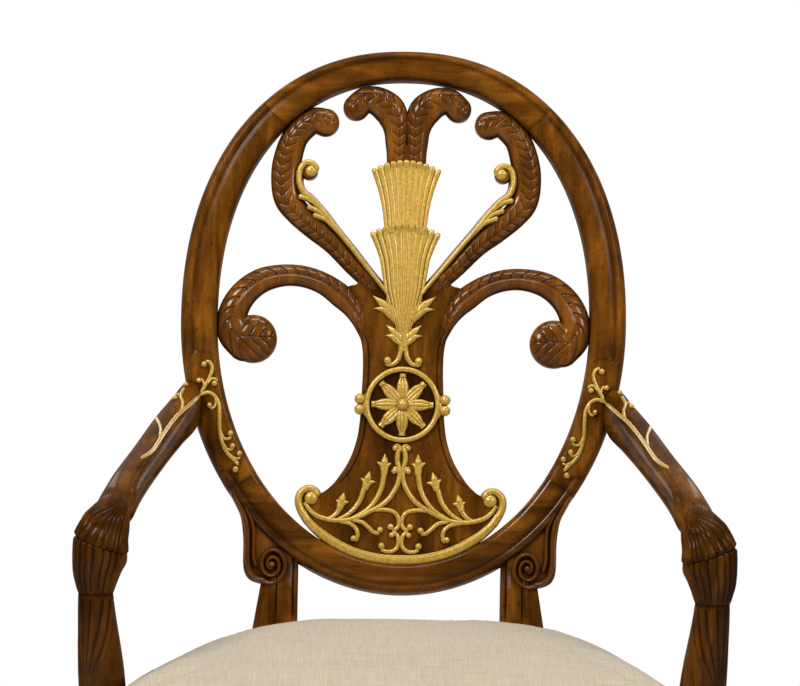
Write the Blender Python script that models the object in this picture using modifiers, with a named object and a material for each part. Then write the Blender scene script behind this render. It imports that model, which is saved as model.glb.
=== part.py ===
"""Oval back armchair: a carved and part-gilt oval back, scrolled arms and an upholstered seat.

Metres, +Z up, front of the chair towards -Y, origin on the floor under the middle of the chair.
The back is drawn flat in its own frame (u to the right, v up, w towards the sitter) and leaned back.
"""
import math

import bmesh
import bpy
from mathutils import Matrix, Vector

# Fits and clearances
FIT = 0.0003                     # gap left between pieces that touch
NOTCH_CLEARANCE = 0.0008         # room round a rear post where it passes the upholstery

# Oval frame of the back
BACK_CENTRE_Y = 0.2165
BACK_CENTRE_Z = 0.770
BACK_RAKE = math.radians(10.0)
OVAL_HALF_WIDTH = 0.2225
OVAL_HALF_HEIGHT = 0.2735
OVAL_RIM_SIDE = 0.0365
OVAL_RIM_END = 0.0305
OVAL_DEPTH = 0.028
OVAL_SQUARENESS_TOP = 2.2
OVAL_SQUARENESS_FOOT = 2.0
OVAL_STEPS = 64
CREST_JOINT = math.radians(51.0)
LOWER_JOINT = math.radians(219.5)
PAD_TOP = math.radians(186.0)    # flat on each stile where the arm lands
PAD_FOOT = math.radians(217.0)

# Splat, drawn for an opening of these half sizes and stretched to the opening that the oval leaves
DRAWN_HALF_WIDTH = 186.0
DRAWN_HALF_HEIGHT = 241.0
SPLAT_BACK = -0.0080
SPLAT_FRONT = 0.0060
FEATHER_BACK = -0.0075
FEATHER_CROWN = 0.0085
STRIP_BACK = -0.0070
STRIP_FRONT = 0.0092
STRIP_HALF_WIDTH = 0.0036
GILT_THICKNESS = 0.0040
SHEAF_THICKNESS = 0.0060
STROKE_HALF_WIDTH = 0.0019

# Roundel on the splat
ROUNDEL_V = -84.0
ROUNDEL_RADIUS = 0.0350
ROUNDEL_WIRE = 0.0030
ROSETTE_RADIUS = 0.0308
ROSETTE_PETALS = 8
ROSETTE_BOSS = 0.0056
SIDE_BALL_RADIUS = 0.0045
SIDE_BALL_SPREAD = 0.0060        # half the height between the two balls of a pair

# Dowels
DOWEL_RADIUS = 0.0040
DOWEL_LENGTH = 0.034
ARM_DOWEL_LENGTH = 0.026
SPLAT_DOWEL_RADIUS = 0.0030
SPLAT_DOWEL_LENGTH = 0.020
SPLAT_DOWEL_U = 30.0

# Arms and their supports
ARM_JOINT_V = -84.0
ARM_ROOT_OUT = 0.0030            # the arm's middle lies this far outside the oval's edge
ARM_END_OUT = 0.0032             # the arm's end stands this far outside the foot of its support
ARM_END_AHEAD = 0.0280           # and this far ahead of it
ARM_END_Z = 0.588
ARM_HALF_WIDTH = 0.0168
ARM_ROOT_HALF_HEIGHT = 0.0235
ARM_MID_HALF_HEIGHT = 0.0150
KNUCKLE_HALF_WIDTH = 0.0237
BULB_HALF_WIDTH = 0.0240
NECK_HALF_WIDTH = 0.0162
BULB_HEIGHT = 0.0410             # from the end of the arm down to the neck
NECK_OUT = 0.0035                # the neck stands this far outside the arm's end
SUPPORT_HALF_WIDTH = 0.0205
SUPPORT_FOOT_Z = 0.400
SUPPORT_SETBACK = 0.1300         # foot of a support behind the seat's front corners
SUPPORT_STAND_OUT = 0.0219       # middle of its foot outside the seat's side
ARM_SCROLL_RADIUS = 0.0017

# Rear legs
POST_INNER_U = 103.5
POST_WIDTH = 0.0440
POST_FACE = 0.0225               # flat front face, the rest is a chamfer towards the side rail
POST_DEPTH = 0.0270
REAR_FOOT_Y = 0.2695
REAR_FOOT_SPREAD = 0.0450        # how far each foot stands outside its post
REAR_FOOT_SIZE = 0.0280
BRACKET_DOWEL_TURN = math.radians(39.0)
BRACKET_DOWEL_LENGTH = 0.029
BRACKET_BACK = -0.0130
BRACKET_FRONT = 0.0080
SCROLL_PROUD = 0.0050
SCROLL_RADIUS = 0.0140

# Front legs
FRONT_LEG_INSET = 0.0280         # middle of a front leg inside the seat's front corners
FRONT_LEG_SETBACK = 0.0255       # middle of a front leg behind the seat's front corners
FRONT_LEG_TOP = 0.0420
FRONT_LEG_ANKLE = 0.0260
SPADE_FOOT_WIDTH = 0.0370
SPADE_FOOT_HEIGHT = 0.0520

# Glides
GLIDE_RADIUS = 0.0095
GLIDE_HEIGHT = 0.0030

# Seat
SEAT_DEPTH = 0.4355
SEAT_FRONT_HALF_WIDTH = 0.2560
SEAT_BOW = 0.018
SEAT_CORNER = 0.016
RAIL_BOTTOM = 0.385
RAIL_TOP = 0.446
RAIL_THICKNESS = 0.024
REAR_RAIL_THICKNESS = 0.019
REAR_RAIL_SETBACK = 0.002        # the rear rail's front lies this far behind the front of the legs
RAIL_HOUSING = 0.006             # how far a side rail runs past the front of the rear leg that it meets
COVER_THICKNESS = 0.0020
SEAT_EDGE_Z = 0.464
SEAT_CROWN = 0.035
SEAT_ROLL = 0.014                # how far the edge rolls in before the dome starts
SIDE_BULGE = 0.0025
DOME_POWER = 3.0
STRAP_WIDTH = 0.045
STRAP_THICKNESS = 0.0022
STRAP_SPACING_X = 0.070
STRAP_SPACING_Y = 0.100
STRAP_AHEAD = 0.020              # the middle cross strap lies this far ahead of the seat's middle
STRAP_EDGE = 0.006               # bare edge of a rail beside a strap's end
DUST_COVER_THICKNESS = 0.0012
DUST_COVER_MARGIN = 0.002
BLOCK_REACH = 0.060              # how far a corner block reaches along each rail
BLOCK_HEIGHT = 0.038
BLOCK_DROP = 0.004               # the blocks stop this far under the top of the rails
BOLT_RADIUS = 0.0030
BOLT_HEAD_RADIUS = 0.0065
BOLT_HEAD_HEIGHT = 0.0040
BOLT_DEPTH = 0.016               # how far a bolt goes into an arm support
BOLT_Z = 0.416

for leftover in list(bpy.data.objects):
    bpy.data.objects.remove(leftover)

PARTS = bpy.data.collections.new("oval_back_armchair")
CUTTERS = bpy.data.collections.new("cutters")
bpy.context.scene.collection.children.link(PARTS)
bpy.context.scene.collection.children.link(CUTTERS)

back_frame = bpy.data.objects.new("back_frame", None)
back_frame.location = (0, BACK_CENTRE_Y, BACK_CENTRE_Z)
back_frame.rotation_euler = (math.pi / 2 - BACK_RAKE, 0, 0)
PARTS.objects.link(back_frame)
bpy.context.view_layer.update()
BACK = back_frame.matrix_world.copy()


# Materials

def finish(name, colour, roughness, metallic=0.0):
    material = bpy.data.materials.new(name)
    material.use_nodes = True
    shader = material.node_tree.nodes["Principled BSDF"]
    shader.inputs["Base Color"].default_value = (*colour, 1.0)
    shader.inputs["Roughness"].default_value = roughness
    shader.inputs["Metallic"].default_value = metallic
    return material


MAHOGANY = finish("mahogany", (0.115, 0.042, 0.016), 0.28)
GILT = finish("gilt", (0.72, 0.46, 0.12), 0.32, 0.85)
LINEN = finish("linen", (0.66, 0.58, 0.45), 0.9)
BEECH = finish("beech", (0.50, 0.33, 0.19), 0.6)
PADDING = finish("padding", (0.80, 0.76, 0.66), 0.95)
WEBBING = finish("webbing", (0.34, 0.27, 0.17), 0.9)
CAMBRIC = finish("cambric", (0.03, 0.03, 0.03), 0.95)
STEEL = finish("steel", (0.42, 0.42, 0.43), 0.35, 1.0)
NYLON = finish("nylon", (0.10, 0.08, 0.07), 0.5)


# Objects and their shapes

def place(name, mesh, material=None, parent=None):
    """A named part, or a cutter when it has no material."""
    thing = bpy.data.objects.new(name, mesh)
    thing.parent = parent
    if material is None:
        CUTTERS.objects.link(thing)
        thing.hide_render = True
        thing.display_type = "WIRE"
    else:
        PARTS.objects.link(thing)
        mesh.materials.append(material)
        mesh.shade_smooth()
        mesh.set_sharp_from_angle(angle=math.radians(35))
    return thing


def boolean(target, tool, operation):
    step = target.modifiers.new(f"{operation.lower()}_{tool.name}", "BOOLEAN")
    step.operation = operation
    step.object = tool


def fuse(target, *tools):
    for tool in tools:
        boolean(target, tool, "UNION")


def cut(target, *tools):
    for tool in tools:
        boolean(target, tool, "DIFFERENCE")


def finished_mesh(name, form):
    """The mesh that a bmesh holds, with its faces pointing out."""
    bmesh.ops.recalc_face_normals(form, faces=form.faces)
    mesh = bpy.data.meshes.new(name)
    form.to_mesh(mesh)
    form.free()
    return mesh


def loft(name, rings, open_start=False):
    """A skin over rings of equally many points, with flat ends unless the first is left open."""
    form = bmesh.new()
    loops = [[form.verts.new(point) for point in ring] for ring in rings]
    for lower, upper in zip(loops, loops[1:]):
        for i in range(len(lower)):
            j = (i + 1) % len(lower)
            form.faces.new((lower[i], lower[j], upper[j], upper[i]))
    if not open_start:
        form.faces.new(loops[0])
    form.faces.new(loops[-1])
    return finished_mesh(name, form)


def plate(name, outline, low, high):
    """A flat outline in u, v with its two faces at w = low and w = high."""
    curve = bpy.data.curves.new(name, "CURVE")
    curve.dimensions = "2D"
    curve.fill_mode = "BOTH"
    curve.extrude = (high - low) / 2
    spline = curve.splines.new("POLY")
    spline.points.add(len(outline) - 1)
    for point, (u, v) in zip(spline.points, outline):
        point.co = (u, v, 0, 1)
    spline.use_cyclic_u = True
    guide = bpy.data.objects.new(name, curve)
    bpy.context.scene.collection.objects.link(guide)
    bpy.context.view_layer.update()
    solid = bpy.data.meshes.new_from_object(guide.evaluated_get(bpy.context.evaluated_depsgraph_get()))
    bpy.data.objects.remove(guide)
    form = bmesh.new()
    form.from_mesh(solid)
    bmesh.ops.remove_doubles(form, verts=form.verts, dist=1e-6)
    bmesh.ops.translate(form, verts=form.verts, vec=(0, 0, (low + high) / 2))
    return finished_mesh(name, form)


def rod(name, centre, direction, length, radius, sides=12):
    """A straight round pin about a centre."""
    form = bmesh.new()
    turn = Vector(direction).to_track_quat("Z", "Y").to_matrix().to_4x4()
    bmesh.ops.create_cone(form, cap_ends=True, segments=sides, radius1=radius, radius2=radius,
                          depth=length, matrix=Matrix.Translation(centre) @ turn)
    return finished_mesh(name, form)


def ball(name, centre, radius):
    form = bmesh.new()
    bmesh.ops.create_uvsphere(form, u_segments=8, v_segments=5, radius=radius,
                              matrix=Matrix.Translation(centre))
    return finished_mesh(name, form)


def smooth(points, steps, closed=False):
    """Points read from a smooth curve through the given ones, some steps to each stretch."""
    knots = [Vector(p) for p in points]
    count = len(knots)
    spans = count if closed else count - 1
    line = []
    for k in range(spans):
        if closed:
            a, b, c, d = (knots[(k + i) % count] for i in (-1, 0, 1, 2))
        else:
            a, b, c, d = (knots[min(max(k + i, 0), count - 1)] for i in (-1, 0, 1, 2))
        for step in range(steps):
            t = step / steps
            line.append(0.5 * (2 * b + (c - a) * t + (2 * a - 5 * b + 4 * c - d) * t ** 2
                               + (3 * b - 3 * c + d - a) * t ** 3))
    if not closed:
        line.append(knots[-1])
    return line


def mirrored(points):
    return [(-p[0], *p[1:]) for p in points]


# The oval and what is drawn inside it

OPENING_HALF_WIDTH = OVAL_HALF_WIDTH - OVAL_RIM_SIDE
OPENING_HALF_HEIGHT = OVAL_HALF_HEIGHT - OVAL_RIM_END
U_SCALE = OPENING_HALF_WIDTH / DRAWN_HALF_WIDTH
V_SCALE = OPENING_HALF_HEIGHT / DRAWN_HALF_HEIGHT


def drawn(points):
    """Points of the drawing, stretched to the opening; a third number is a half width."""
    return [(p[0] * U_SCALE, p[1] * V_SCALE, *(extra * U_SCALE for extra in p[2:])) for p in points]


def oval_point(half_width, half_height, angle):
    c, s = math.cos(angle), math.sin(angle)
    power = 2 / (OVAL_SQUARENESS_TOP if s > 0 else OVAL_SQUARENESS_FOOT)
    return Vector((math.copysign(abs(c) ** power, c) * half_width,
                   math.copysign(abs(s) ** power, s) * half_height))


def rim_point(share, angle):
    """A point between the oval's inner edge (share 0) and its outer edge (share 1)."""
    inner = oval_point(OPENING_HALF_WIDTH, OPENING_HALF_HEIGHT, angle)
    outer = oval_point(OVAL_HALF_WIDTH, OVAL_HALF_HEIGHT, angle)
    return inner.lerp(outer, share)


def oval_outline(half_width, half_height):
    return [oval_point(half_width, half_height, math.tau * k / OVAL_STEPS) for k in range(OVAL_STEPS)]


# Section of the rim: share of its width, height over the middle as a share of its depth
MOULDED_SECTION = [(0.0, -0.36), (0.0, 0.37), (0.06, 0.46), (0.35, 0.50), (0.64, 0.46), (0.70, 0.38),
                   (0.745, 0.44), (0.80, 0.465), (0.855, 0.42), (0.93, 0.14), (1.0, -0.2), (0.985, -0.4),
                   (0.9, -0.5), (0.1, -0.5)]
PAD_SECTION = [(0.0, -0.36), (0.0, 0.37), (0.06, 0.46), (0.35, 0.48), (0.64, 0.48), (0.70, 0.48),
               (0.745, 0.48), (0.80, 0.475), (0.88, 0.44), (0.95, 0.2), (1.0, -0.2), (0.985, -0.4),
               (0.9, -0.5), (0.1, -0.5)]
PAD_FRONT = 0.48 * OVAL_DEPTH


def rim_member(name, start, end):
    """A stretch of the oval between two joints, half a fit short at each."""
    middle = rim_point(0.5, start)
    trim = FIT / 2 / (rim_point(0.5, start + 0.01) - middle).length * 0.01
    stations = [start + trim]
    stations += [math.tau * k / OVAL_STEPS for k in range(-OVAL_STEPS, 2 * OVAL_STEPS)
                 if start + 2 * trim < math.tau * k / OVAL_STEPS < end - 2 * trim]
    stations.append(end - trim)
    rings = []
    for angle in stations:
        turn = angle % math.tau
        left_turn = turn if math.cos(turn) < 0 else (math.pi - turn) % math.tau
        section = PAD_SECTION if PAD_TOP < left_turn < PAD_FOOT else MOULDED_SECTION
        rings.append([(*rim_point(share, angle), height * OVAL_DEPTH) for share, height in section])
    return place(name, loft(name, rings), MAHOGANY, back_frame)


crest_rail = rim_member("crest_rail", CREST_JOINT, math.pi - CREST_JOINT)
stile_left = rim_member("stile_left", math.pi - CREST_JOINT, LOWER_JOINT)
lower_rail = rim_member("lower_rail", LOWER_JOINT, 3 * math.pi - LOWER_JOINT)
stile_right = rim_member("stile_right", math.pi - LOWER_JOINT, CREST_JOINT)

opening_cutter = place("opening_cutter", plate(
    "opening_cutter", oval_outline(OPENING_HALF_WIDTH - FIT, OPENING_HALF_HEIGHT - FIT), -0.03, 0.03),
    None, back_frame)
surround_cutter = place("surround_cutter", plate(
    "surround_cutter", oval_outline(OVAL_HALF_WIDTH + FIT, OVAL_HALF_HEIGHT + FIT), -0.08,
    OVAL_DEPTH / 2 + FIT), None, back_frame)


def dowel(name, centre, direction, length, radius, hosts, frame=back_frame, material=BEECH):
    """A pin across a joint, and the bore for it in each piece that it holds."""
    bore = place(f"{name}_bore", rod(f"{name}_bore", centre, direction, length + 2 * FIT, radius + FIT),
                 None, frame)
    for host in hosts:
        cut(host, bore)
    return place(name, rod(name, centre, direction, length, radius), material, frame)


def rim_dowel(name, angle, hosts):
    along = rim_point(0.4, angle + 0.02) - rim_point(0.4, angle - 0.02)
    dowel(name, (*rim_point(0.4, angle), 0), (*along, 0), DOWEL_LENGTH, DOWEL_RADIUS, hosts)


rim_dowel("crest_dowel_left", math.pi - CREST_JOINT, (crest_rail, stile_left))
rim_dowel("crest_dowel_right", CREST_JOINT, (crest_rail, stile_right))
rim_dowel("lower_dowel_left", LOWER_JOINT, (lower_rail, stile_left))
rim_dowel("lower_dowel_right", math.pi - LOWER_JOINT, (lower_rail, stile_right))


# Ribbons: carved bands that follow a line in the drawing

BAND_SECTION = [(-1.0, 0.0), (-1.0, 0.45), (-0.7, 0.8), (0.0, 1.0), (0.7, 0.8), (1.0, 0.45), (1.0, 0.0)]
STROKE_SECTION = [(-1.0, 0.0), (-0.7, 0.8), (0.7, 0.8), (1.0, 0.0)]


def ribbon(name, line, low, high, section=BAND_SECTION, steps=1, round_end=False):
    """A band along u, v points with half widths, from w = low to w = high."""
    stations = smooth(line, steps)
    if round_end:
        last = stations[-1]
        along = (last - stations[-2]).xy.normalized()
        for angle in (math.radians(a) for a in (30, 60, 82)):
            tip = last.xy + along * last.z * math.sin(angle)
            stations.append(Vector((*tip, last.z * math.cos(angle))))
    rings = []
    for k, station in enumerate(stations):
        before = stations[max(k - 1, 0)]
        after = stations[min(k + 1, len(stations) - 1)]
        along = (after - before).xy.normalized()
        across = Vector((along.y, -along.x))
        rings.append([(*(station.xy + across * side * station.z), low + (high - low) * rise)
                      for side, rise in section])
    return loft(name, rings)


def with_width(points, half_width):
    return [(u, v, half_width) for u, v in points]


# Splat: body, plume feathers, S feathers and volutes, carved from one board

BODY_SIDE = [(19, 173), (18, 100), (20, 62), (34, 46), (48, 36), (62, 18), (50.5, 0), (45.5, -10),
             (42, -20), (40, -35), (40, -50), (41, -80), (42, -100), (45, -120), (52, -140), (65, -160),
             (78, -171)]
FOOT_SCROLL = (91.0, -177.0)
FOOT_SCROLL_RADIUS = 13.0
FOOT_ARC_CENTRE = -105.0
FOOT_ARC_RADIUS = 137.0
FOOT_RIM_WIDTH = 10.0
PLUME = [(-10.5, 163, 10.5), (-10.5, 180, 11), (-13, 200, 12), (-20, 217, 12), (-33, 226, 11),
         (-46, 223, 12), (-51, 213, 12.5)]
S_FEATHER = [(-36, 40, 8), (-52, 54, 8.5), (-72, 76, 10.3), (-91, 92, 12), (-109, 108, 12.5),
             (-119, 123, 13.5), (-121, 145, 14), (-118.5, 164, 13.5), (-112.5, 182, 12.9),
             (-103, 193.5, 12.5), (-92.5, 201, 12), (-82, 199, 12.8)]
VOLUTE = [(-40, 16, 9), (-60, 27, 9.5), (-80, 37.5, 10), (-100, 43, 10.3), (-120, 43.5, 10.7),
          (-140, 39, 12), (-155, 29.5, 13), (-166, 16, 14), (-171.5, 0, 15), (-169, -14, 17),
          (-158, -24, 19)]
VOLUTE_DISC = (-150.0, -20.5)
VOLUTE_DISC_RADIUS = 24.0
ACANTHUS_STEM = [(-98, 155), (-105, 150), (-106, 140), (-100, 128), (-92, 120), (-80, 104), (-70, 91),
                 (-60, 79), (-50, 67), (-40, 53), (-30, 40)]
ACANTHUS_EYE = (-97.0, 148.0)
ACANTHUS_EYE_RADIUS = 0.0085


def foot_arc(radius, reach, count):
    """Points along the bottom of the splat's fan foot, from right to left."""
    spread = math.asin(reach / radius)
    angles = [-math.pi / 2 + spread * (1 - 2 * k / (count - 1)) for k in range(count)]
    return [(radius * math.cos(a), FOOT_ARC_CENTRE + radius * math.sin(a)) for a in angles]


def foot_scroll_edge(count=5):
    """The outside of the right-hand scroll, from its inner top round to the arc."""
    turns = [math.radians(125 - 150 * k / (count - 1)) for k in range(count)]
    return [(FOOT_SCROLL[0] + FOOT_SCROLL_RADIUS * math.cos(a),
             FOOT_SCROLL[1] + FOOT_SCROLL_RADIUS * math.sin(a)) for a in turns]


def splat_body():
    right = BODY_SIDE + foot_scroll_edge()
    arc = foot_arc(FOOT_ARC_RADIUS, FOOT_SCROLL[0] + FOOT_SCROLL_RADIUS - 2, 15)
    return plate("back_splat", drawn(right + arc + mirrored(right)[::-1]), SPLAT_BACK, SPLAT_FRONT)


back_splat = place("back_splat", splat_body(), MAHOGANY, back_frame)


def carved_band(name, line, low, crown, **options):
    for side, points in (("left", line), ("right", mirrored(line))):
        mesh = ribbon(f"{name}_{side}", drawn(points), low, crown, **options)
        fuse(back_splat, place(f"{name}_{side}", mesh, None, back_frame))


carved_band("plume", PLUME, FEATHER_BACK, FEATHER_CROWN, steps=2, round_end=True)
carved_band("s_feather", S_FEATHER, FEATHER_BACK - FIT, FEATHER_CROWN - FIT, round_end=True)
carved_band("volute", VOLUTE, FEATHER_BACK + FIT, FEATHER_CROWN + FIT, round_end=True)
carved_band("acanthus_strip", with_width(ACANTHUS_STEM, STRIP_HALF_WIDTH / U_SCALE),
            STRIP_BACK, STRIP_FRONT)

for mirror_side, label in ((1, "left"), (-1, "right")):
    (disc_u, disc_v), = drawn([VOLUTE_DISC])
    (eye_u, eye_v), = drawn([ACANTHUS_EYE])
    disc_w = (SPLAT_BACK + FEATHER_CROWN) / 2
    disc = rod(f"volute_disc_{label}", (disc_u * mirror_side, disc_v, disc_w), (0, 0, 1),
               FEATHER_CROWN - SPLAT_BACK - 4 * FIT, VOLUTE_DISC_RADIUS * U_SCALE, sides=20)
    eye_w = (STRIP_BACK + STRIP_FRONT) / 2
    eye = rod(f"acanthus_eye_{label}", (eye_u * mirror_side, eye_v, eye_w), (0, 0, 1),
              STRIP_FRONT - STRIP_BACK - 2 * FIT, ACANTHUS_EYE_RADIUS, sides=14)
    fuse(back_splat, place(disc.name, disc, None, back_frame), place(eye.name, eye, None, back_frame))

boolean(back_splat, opening_cutter, "INTERSECT")

for mirror_side, label in ((-1, "left"), (1, "right")):
    dowel_u = SPLAT_DOWEL_U * U_SCALE * mirror_side
    dowel_v = -OPENING_HALF_HEIGHT * math.sqrt(1 - (dowel_u / OPENING_HALF_WIDTH) ** 2)
    dowel(f"splat_dowel_{label}", (dowel_u, dowel_v, (SPLAT_BACK + SPLAT_FRONT) / 2), (0, 1, 0),
          SPLAT_DOWEL_LENGTH, SPLAT_DOWEL_RADIUS, (back_splat, lower_rail))


# Gilt carving, seated on the face of the splat

GILT_SEAT = SPLAT_FRONT + FIT
UPPER_SHEAF = [(0, 98.5), (8, 98), (16, 96), (21.5, 94.5), (25, 118), (35, 149), (33, 153), (25, 155.5),
               (16, 158.5), (8, 160.5), (0, 161)]
LOWER_SHEAF = [(0, -31), (4, -30), (5, -18), (10, 0), (20, 30), (22, 42), (25, 60), (35, 84), (33.5, 88),
               (25, 91.5), (16, 94.5), (8, 96.5), (0, 97)]


def sheaf(name, right_half):
    outline = drawn(right_half + mirrored(right_half[1:-1])[::-1])
    return place(name, plate(name, outline, GILT_SEAT, GILT_SEAT + SHEAF_THICKNESS), GILT, back_frame)


sheaf("upper_sheaf", UPPER_SHEAF)
sheaf("lower_sheaf", LOWER_SHEAF)


def roundel():
    (_, centre_v), = drawn([(0, ROUNDEL_V)])
    form = bmesh.new()
    circle = bmesh.ops.create_circle(form, segments=6, radius=ROUNDEL_WIRE,
                                     matrix=Matrix.Translation((ROUNDEL_RADIUS, 0, 0))
                                     @ Matrix.Rotation(math.pi / 2, 4, "X"))
    edges = list({edge for vert in circle["verts"] for edge in vert.link_edges})
    bmesh.ops.spin(form, geom=circle["verts"] + edges, cent=(0, 0, 0), axis=(0, 0, 1), angle=math.tau,
                   steps=28, use_merge=True)
    bmesh.ops.remove_doubles(form, verts=form.verts, dist=1e-6)
    seat = GILT_SEAT + ROUNDEL_WIRE
    bmesh.ops.translate(form, verts=form.verts, vec=(0, centre_v, seat))
    ring = place("roundel_ring", finished_mesh("roundel_ring", form), GILT, back_frame)
    reach = ROUNDEL_RADIUS + ROUNDEL_WIRE + SIDE_BALL_RADIUS
    for side in (-1, 1):
        for level in (-1, 1):
            name = f"roundel_ball_{side}_{level}"
            lean = SIDE_BALL_SPREAD * level
            out = math.sqrt((reach - SIDE_BALL_RADIUS / 3) ** 2 - lean ** 2)
            middle = (side * out, centre_v + lean, GILT_SEAT + SIDE_BALL_RADIUS)
            fuse(ring, place(name, ball(name, middle, SIDE_BALL_RADIUS), None, back_frame))
    petal_points = []
    for k in range(ROSETTE_PETALS):
        middle = math.tau * k / ROSETTE_PETALS
        step = math.pi / ROSETTE_PETALS
        for turn, share in ((-1.0, 0.34), (-0.46, 0.72), (-0.32, 1.0), (0.32, 1.0), (0.46, 0.72)):
            angle = middle + turn * step
            petal_points.append((ROSETTE_RADIUS * share * math.cos(angle),
                                 centre_v + ROSETTE_RADIUS * share * math.sin(angle)))
    rosette = place("rosette", plate("rosette", petal_points, GILT_SEAT, GILT_SEAT + GILT_THICKNESS),
                    GILT, back_frame)
    boss = ball("rosette_boss", (0, centre_v, GILT_SEAT + ROSETTE_BOSS + FIT), ROSETTE_BOSS)
    fuse(rosette, place("rosette_boss", boss, None, back_frame))


roundel()


def foot_rim():
    half = FOOT_RIM_WIDTH / 2
    reach = FOOT_SCROLL[0] + FOOT_SCROLL_RADIUS - half
    turn_up = [(reach, FOOT_SCROLL[1]), (reach, FOOT_SCROLL[1] - FOOT_SCROLL_RADIUS * 0.7)]
    arc = foot_arc(FOOT_ARC_RADIUS - half, reach - half / 2, 15)
    line = with_width(turn_up + arc + mirrored(turn_up)[::-1], half - 1)
    mesh = ribbon("foot_rim", drawn(line), GILT_SEAT, GILT_SEAT + GILT_THICKNESS, STROKE_SECTION)
    rim = place("foot_rim", mesh, GILT, back_frame)
    for side in (-1, 1):
        name = f"foot_rim_scroll_{side}"
        (u, v), = drawn([(FOOT_SCROLL[0] * side, FOOT_SCROLL[1])])
        mesh = rod(name, (u, v, GILT_SEAT + GILT_THICKNESS / 2), (0, 0, 1), GILT_THICKNESS - 2 * FIT,
                   (FOOT_SCROLL_RADIUS - 1) * U_SCALE, sides=18)
        fuse(rim, place(name, mesh, None, back_frame))
    boolean(rim, opening_cutter, "INTERSECT")


foot_rim()

# Strokes of the foliage on the left half of the fan foot; each starts on the stem
FOLIAGE_STEM = [(-85, -193), (-65, -198), (-50, -198), (-40, -195), (-28, -189), (-18, -182), (-10, -173),
                (-5, -163), (-2.5, -152), (-4, -139), (-3.5, -130)]
FOLIAGE_STROKES = [
    [(-45, -196), (-30, -184), (-23, -175), (-19, -165), (-17, -152), (-16.5, -136)],
    [(-58, -198), (-44, -186), (-39, -177), (-35, -168), (-31, -153)],
    [(-70, -197), (-64, -193.5), (-60, -190), (-57, -174)],
    [(-52, -198), (-37, -200), (-31, -206), (-26, -210.5), (-20, -207)],
    [(-64, -198), (-50, -202), (-43, -206), (-41, -212), (-46, -216.5)],
    [(-30, -190), (-18, -188), (-8, -189.5), (-3, -194), (-3, -202), (-8, -205)],
]


def strokes(name, stem, branches, seat, parent=back_frame):
    """Gilt lines on a flat face: a stem with branches that grow out of it."""
    body = place(name, ribbon(name, with_width(stem, STROKE_HALF_WIDTH), seat, seat + GILT_THICKNESS,
                              STROKE_SECTION), GILT, parent)
    for k, branch in enumerate(branches):
        part = f"{name}_{k}"
        rise = GILT_THICKNESS - FIT * (2 + k)
        mesh = ribbon(part, with_width(branch, STROKE_HALF_WIDTH), seat, seat + rise, STROKE_SECTION)
        fuse(body, place(part, mesh, None, parent))
    return body


for flip, label in ((list, "left"), (mirrored, "right")):
    branches = [drawn(flip(line)) for line in FOLIAGE_STROKES]
    strokes(f"foliage_{label}", drawn(flip(FOLIAGE_STEM)), branches, GILT_SEAT)
    stem_line = with_width(drawn(flip(ACANTHUS_STEM)), STRIP_HALF_WIDTH - FIT)
    acanthus = place(f"acanthus_{label}", ribbon(f"acanthus_{label}", stem_line, STRIP_FRONT + FIT,
                                                 STRIP_FRONT + GILT_THICKNESS), GILT, back_frame)
    (eye_u, eye_v), = drawn(flip([ACANTHUS_EYE]))
    eye_name = f"acanthus_scroll_{label}"
    eye_mesh = rod(eye_name, (eye_u, eye_v, STRIP_FRONT + FIT + GILT_THICKNESS / 2), (0, 0, 1),
                   GILT_THICKNESS - 2 * FIT, ACANTHUS_EYE_RADIUS - FIT, sides=14)
    fuse(acanthus, place(eye_name, eye_mesh, None, back_frame))

# Scroll on the pad of each stile
STILE_STEM = [(-195, -77), (-193, -68), (-190, -59), (-189, -51), (-192, -45)]
STILE_STROKES = [
    [(-194, -76), (-188, -78), (-182, -84), (-180, -92), (-180, -115), (-177, -125), (-171, -135),
     (-163, -144)],
    [(-181, -100), (-174, -107), (-170, -114)],
    [(-178, -122), (-171, -121), (-168, -127)],
]
for flip, label in ((list, "left"), (mirrored, "right")):
    branches = [drawn(flip(line)) for line in STILE_STROKES]
    strokes(f"stile_scroll_{label}", drawn(flip(STILE_STEM)), branches, PAD_FRONT + FIT)


# Rear legs: a raked post with a scrolled bracket above the seat, a splayed leg below it

POST_TOP_V = -225.0
BRACKET = [(-150, -160), (-172, -166), (-167, -180), (-162, -193), (-160, -208), (-159, -222),
           (-159, -237), (-156.5, -247), (-151, -253), (-143, -256), (-136, -257), (-125, -262),
           (-110, -262), (-104, -250), (-104, -235), (-110, -215)]
BRACKET_SCROLL = (-129.5, -238.0)
POST_INNER = POST_INNER_U * U_SCALE
LEG_FLARE = 0.0045               # extra depth where the rails meet the leg
FLARE_HEIGHT = 0.030
LEG_BOTTOM = GLIDE_HEIGHT + FIT


def rake_y(z):
    """Where the middle plane of the back lies at a height."""
    return BACK_CENTRE_Y + (z - BACK_CENTRE_Z) * math.tan(BACK_RAKE)


def leg_fall(z):
    """0 where the rails meet the leg, 1 at its foot."""
    return max(0.0, (RAIL_BOTTOM - z) / (RAIL_BOTTOM - LEG_BOTTOM))


def leg_y(z):
    """The leg follows the back down to the rail, stands upright beside it, then sweeps back."""
    if z >= RAIL_TOP:
        return rake_y(z)
    return rake_y(RAIL_TOP) + (REAR_FOOT_Y - rake_y(RAIL_TOP)) * leg_fall(z) ** 1.6


def leg_section(z):
    """Inner edge, width and depth of a rear leg at a height."""
    flare = min(max(0.0, 1 - (z - RAIL_TOP) / FLARE_HEIGHT), 1.0)
    depth = POST_DEPTH + LEG_FLARE * flare
    fall = leg_fall(z)
    inner = POST_INNER + REAR_FOOT_SPREAD * fall ** 1.2
    return inner, POST_WIDTH + (REAR_FOOT_SIZE - POST_WIDTH) * fall, depth + (REAR_FOOT_SIZE - depth) * fall


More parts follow.
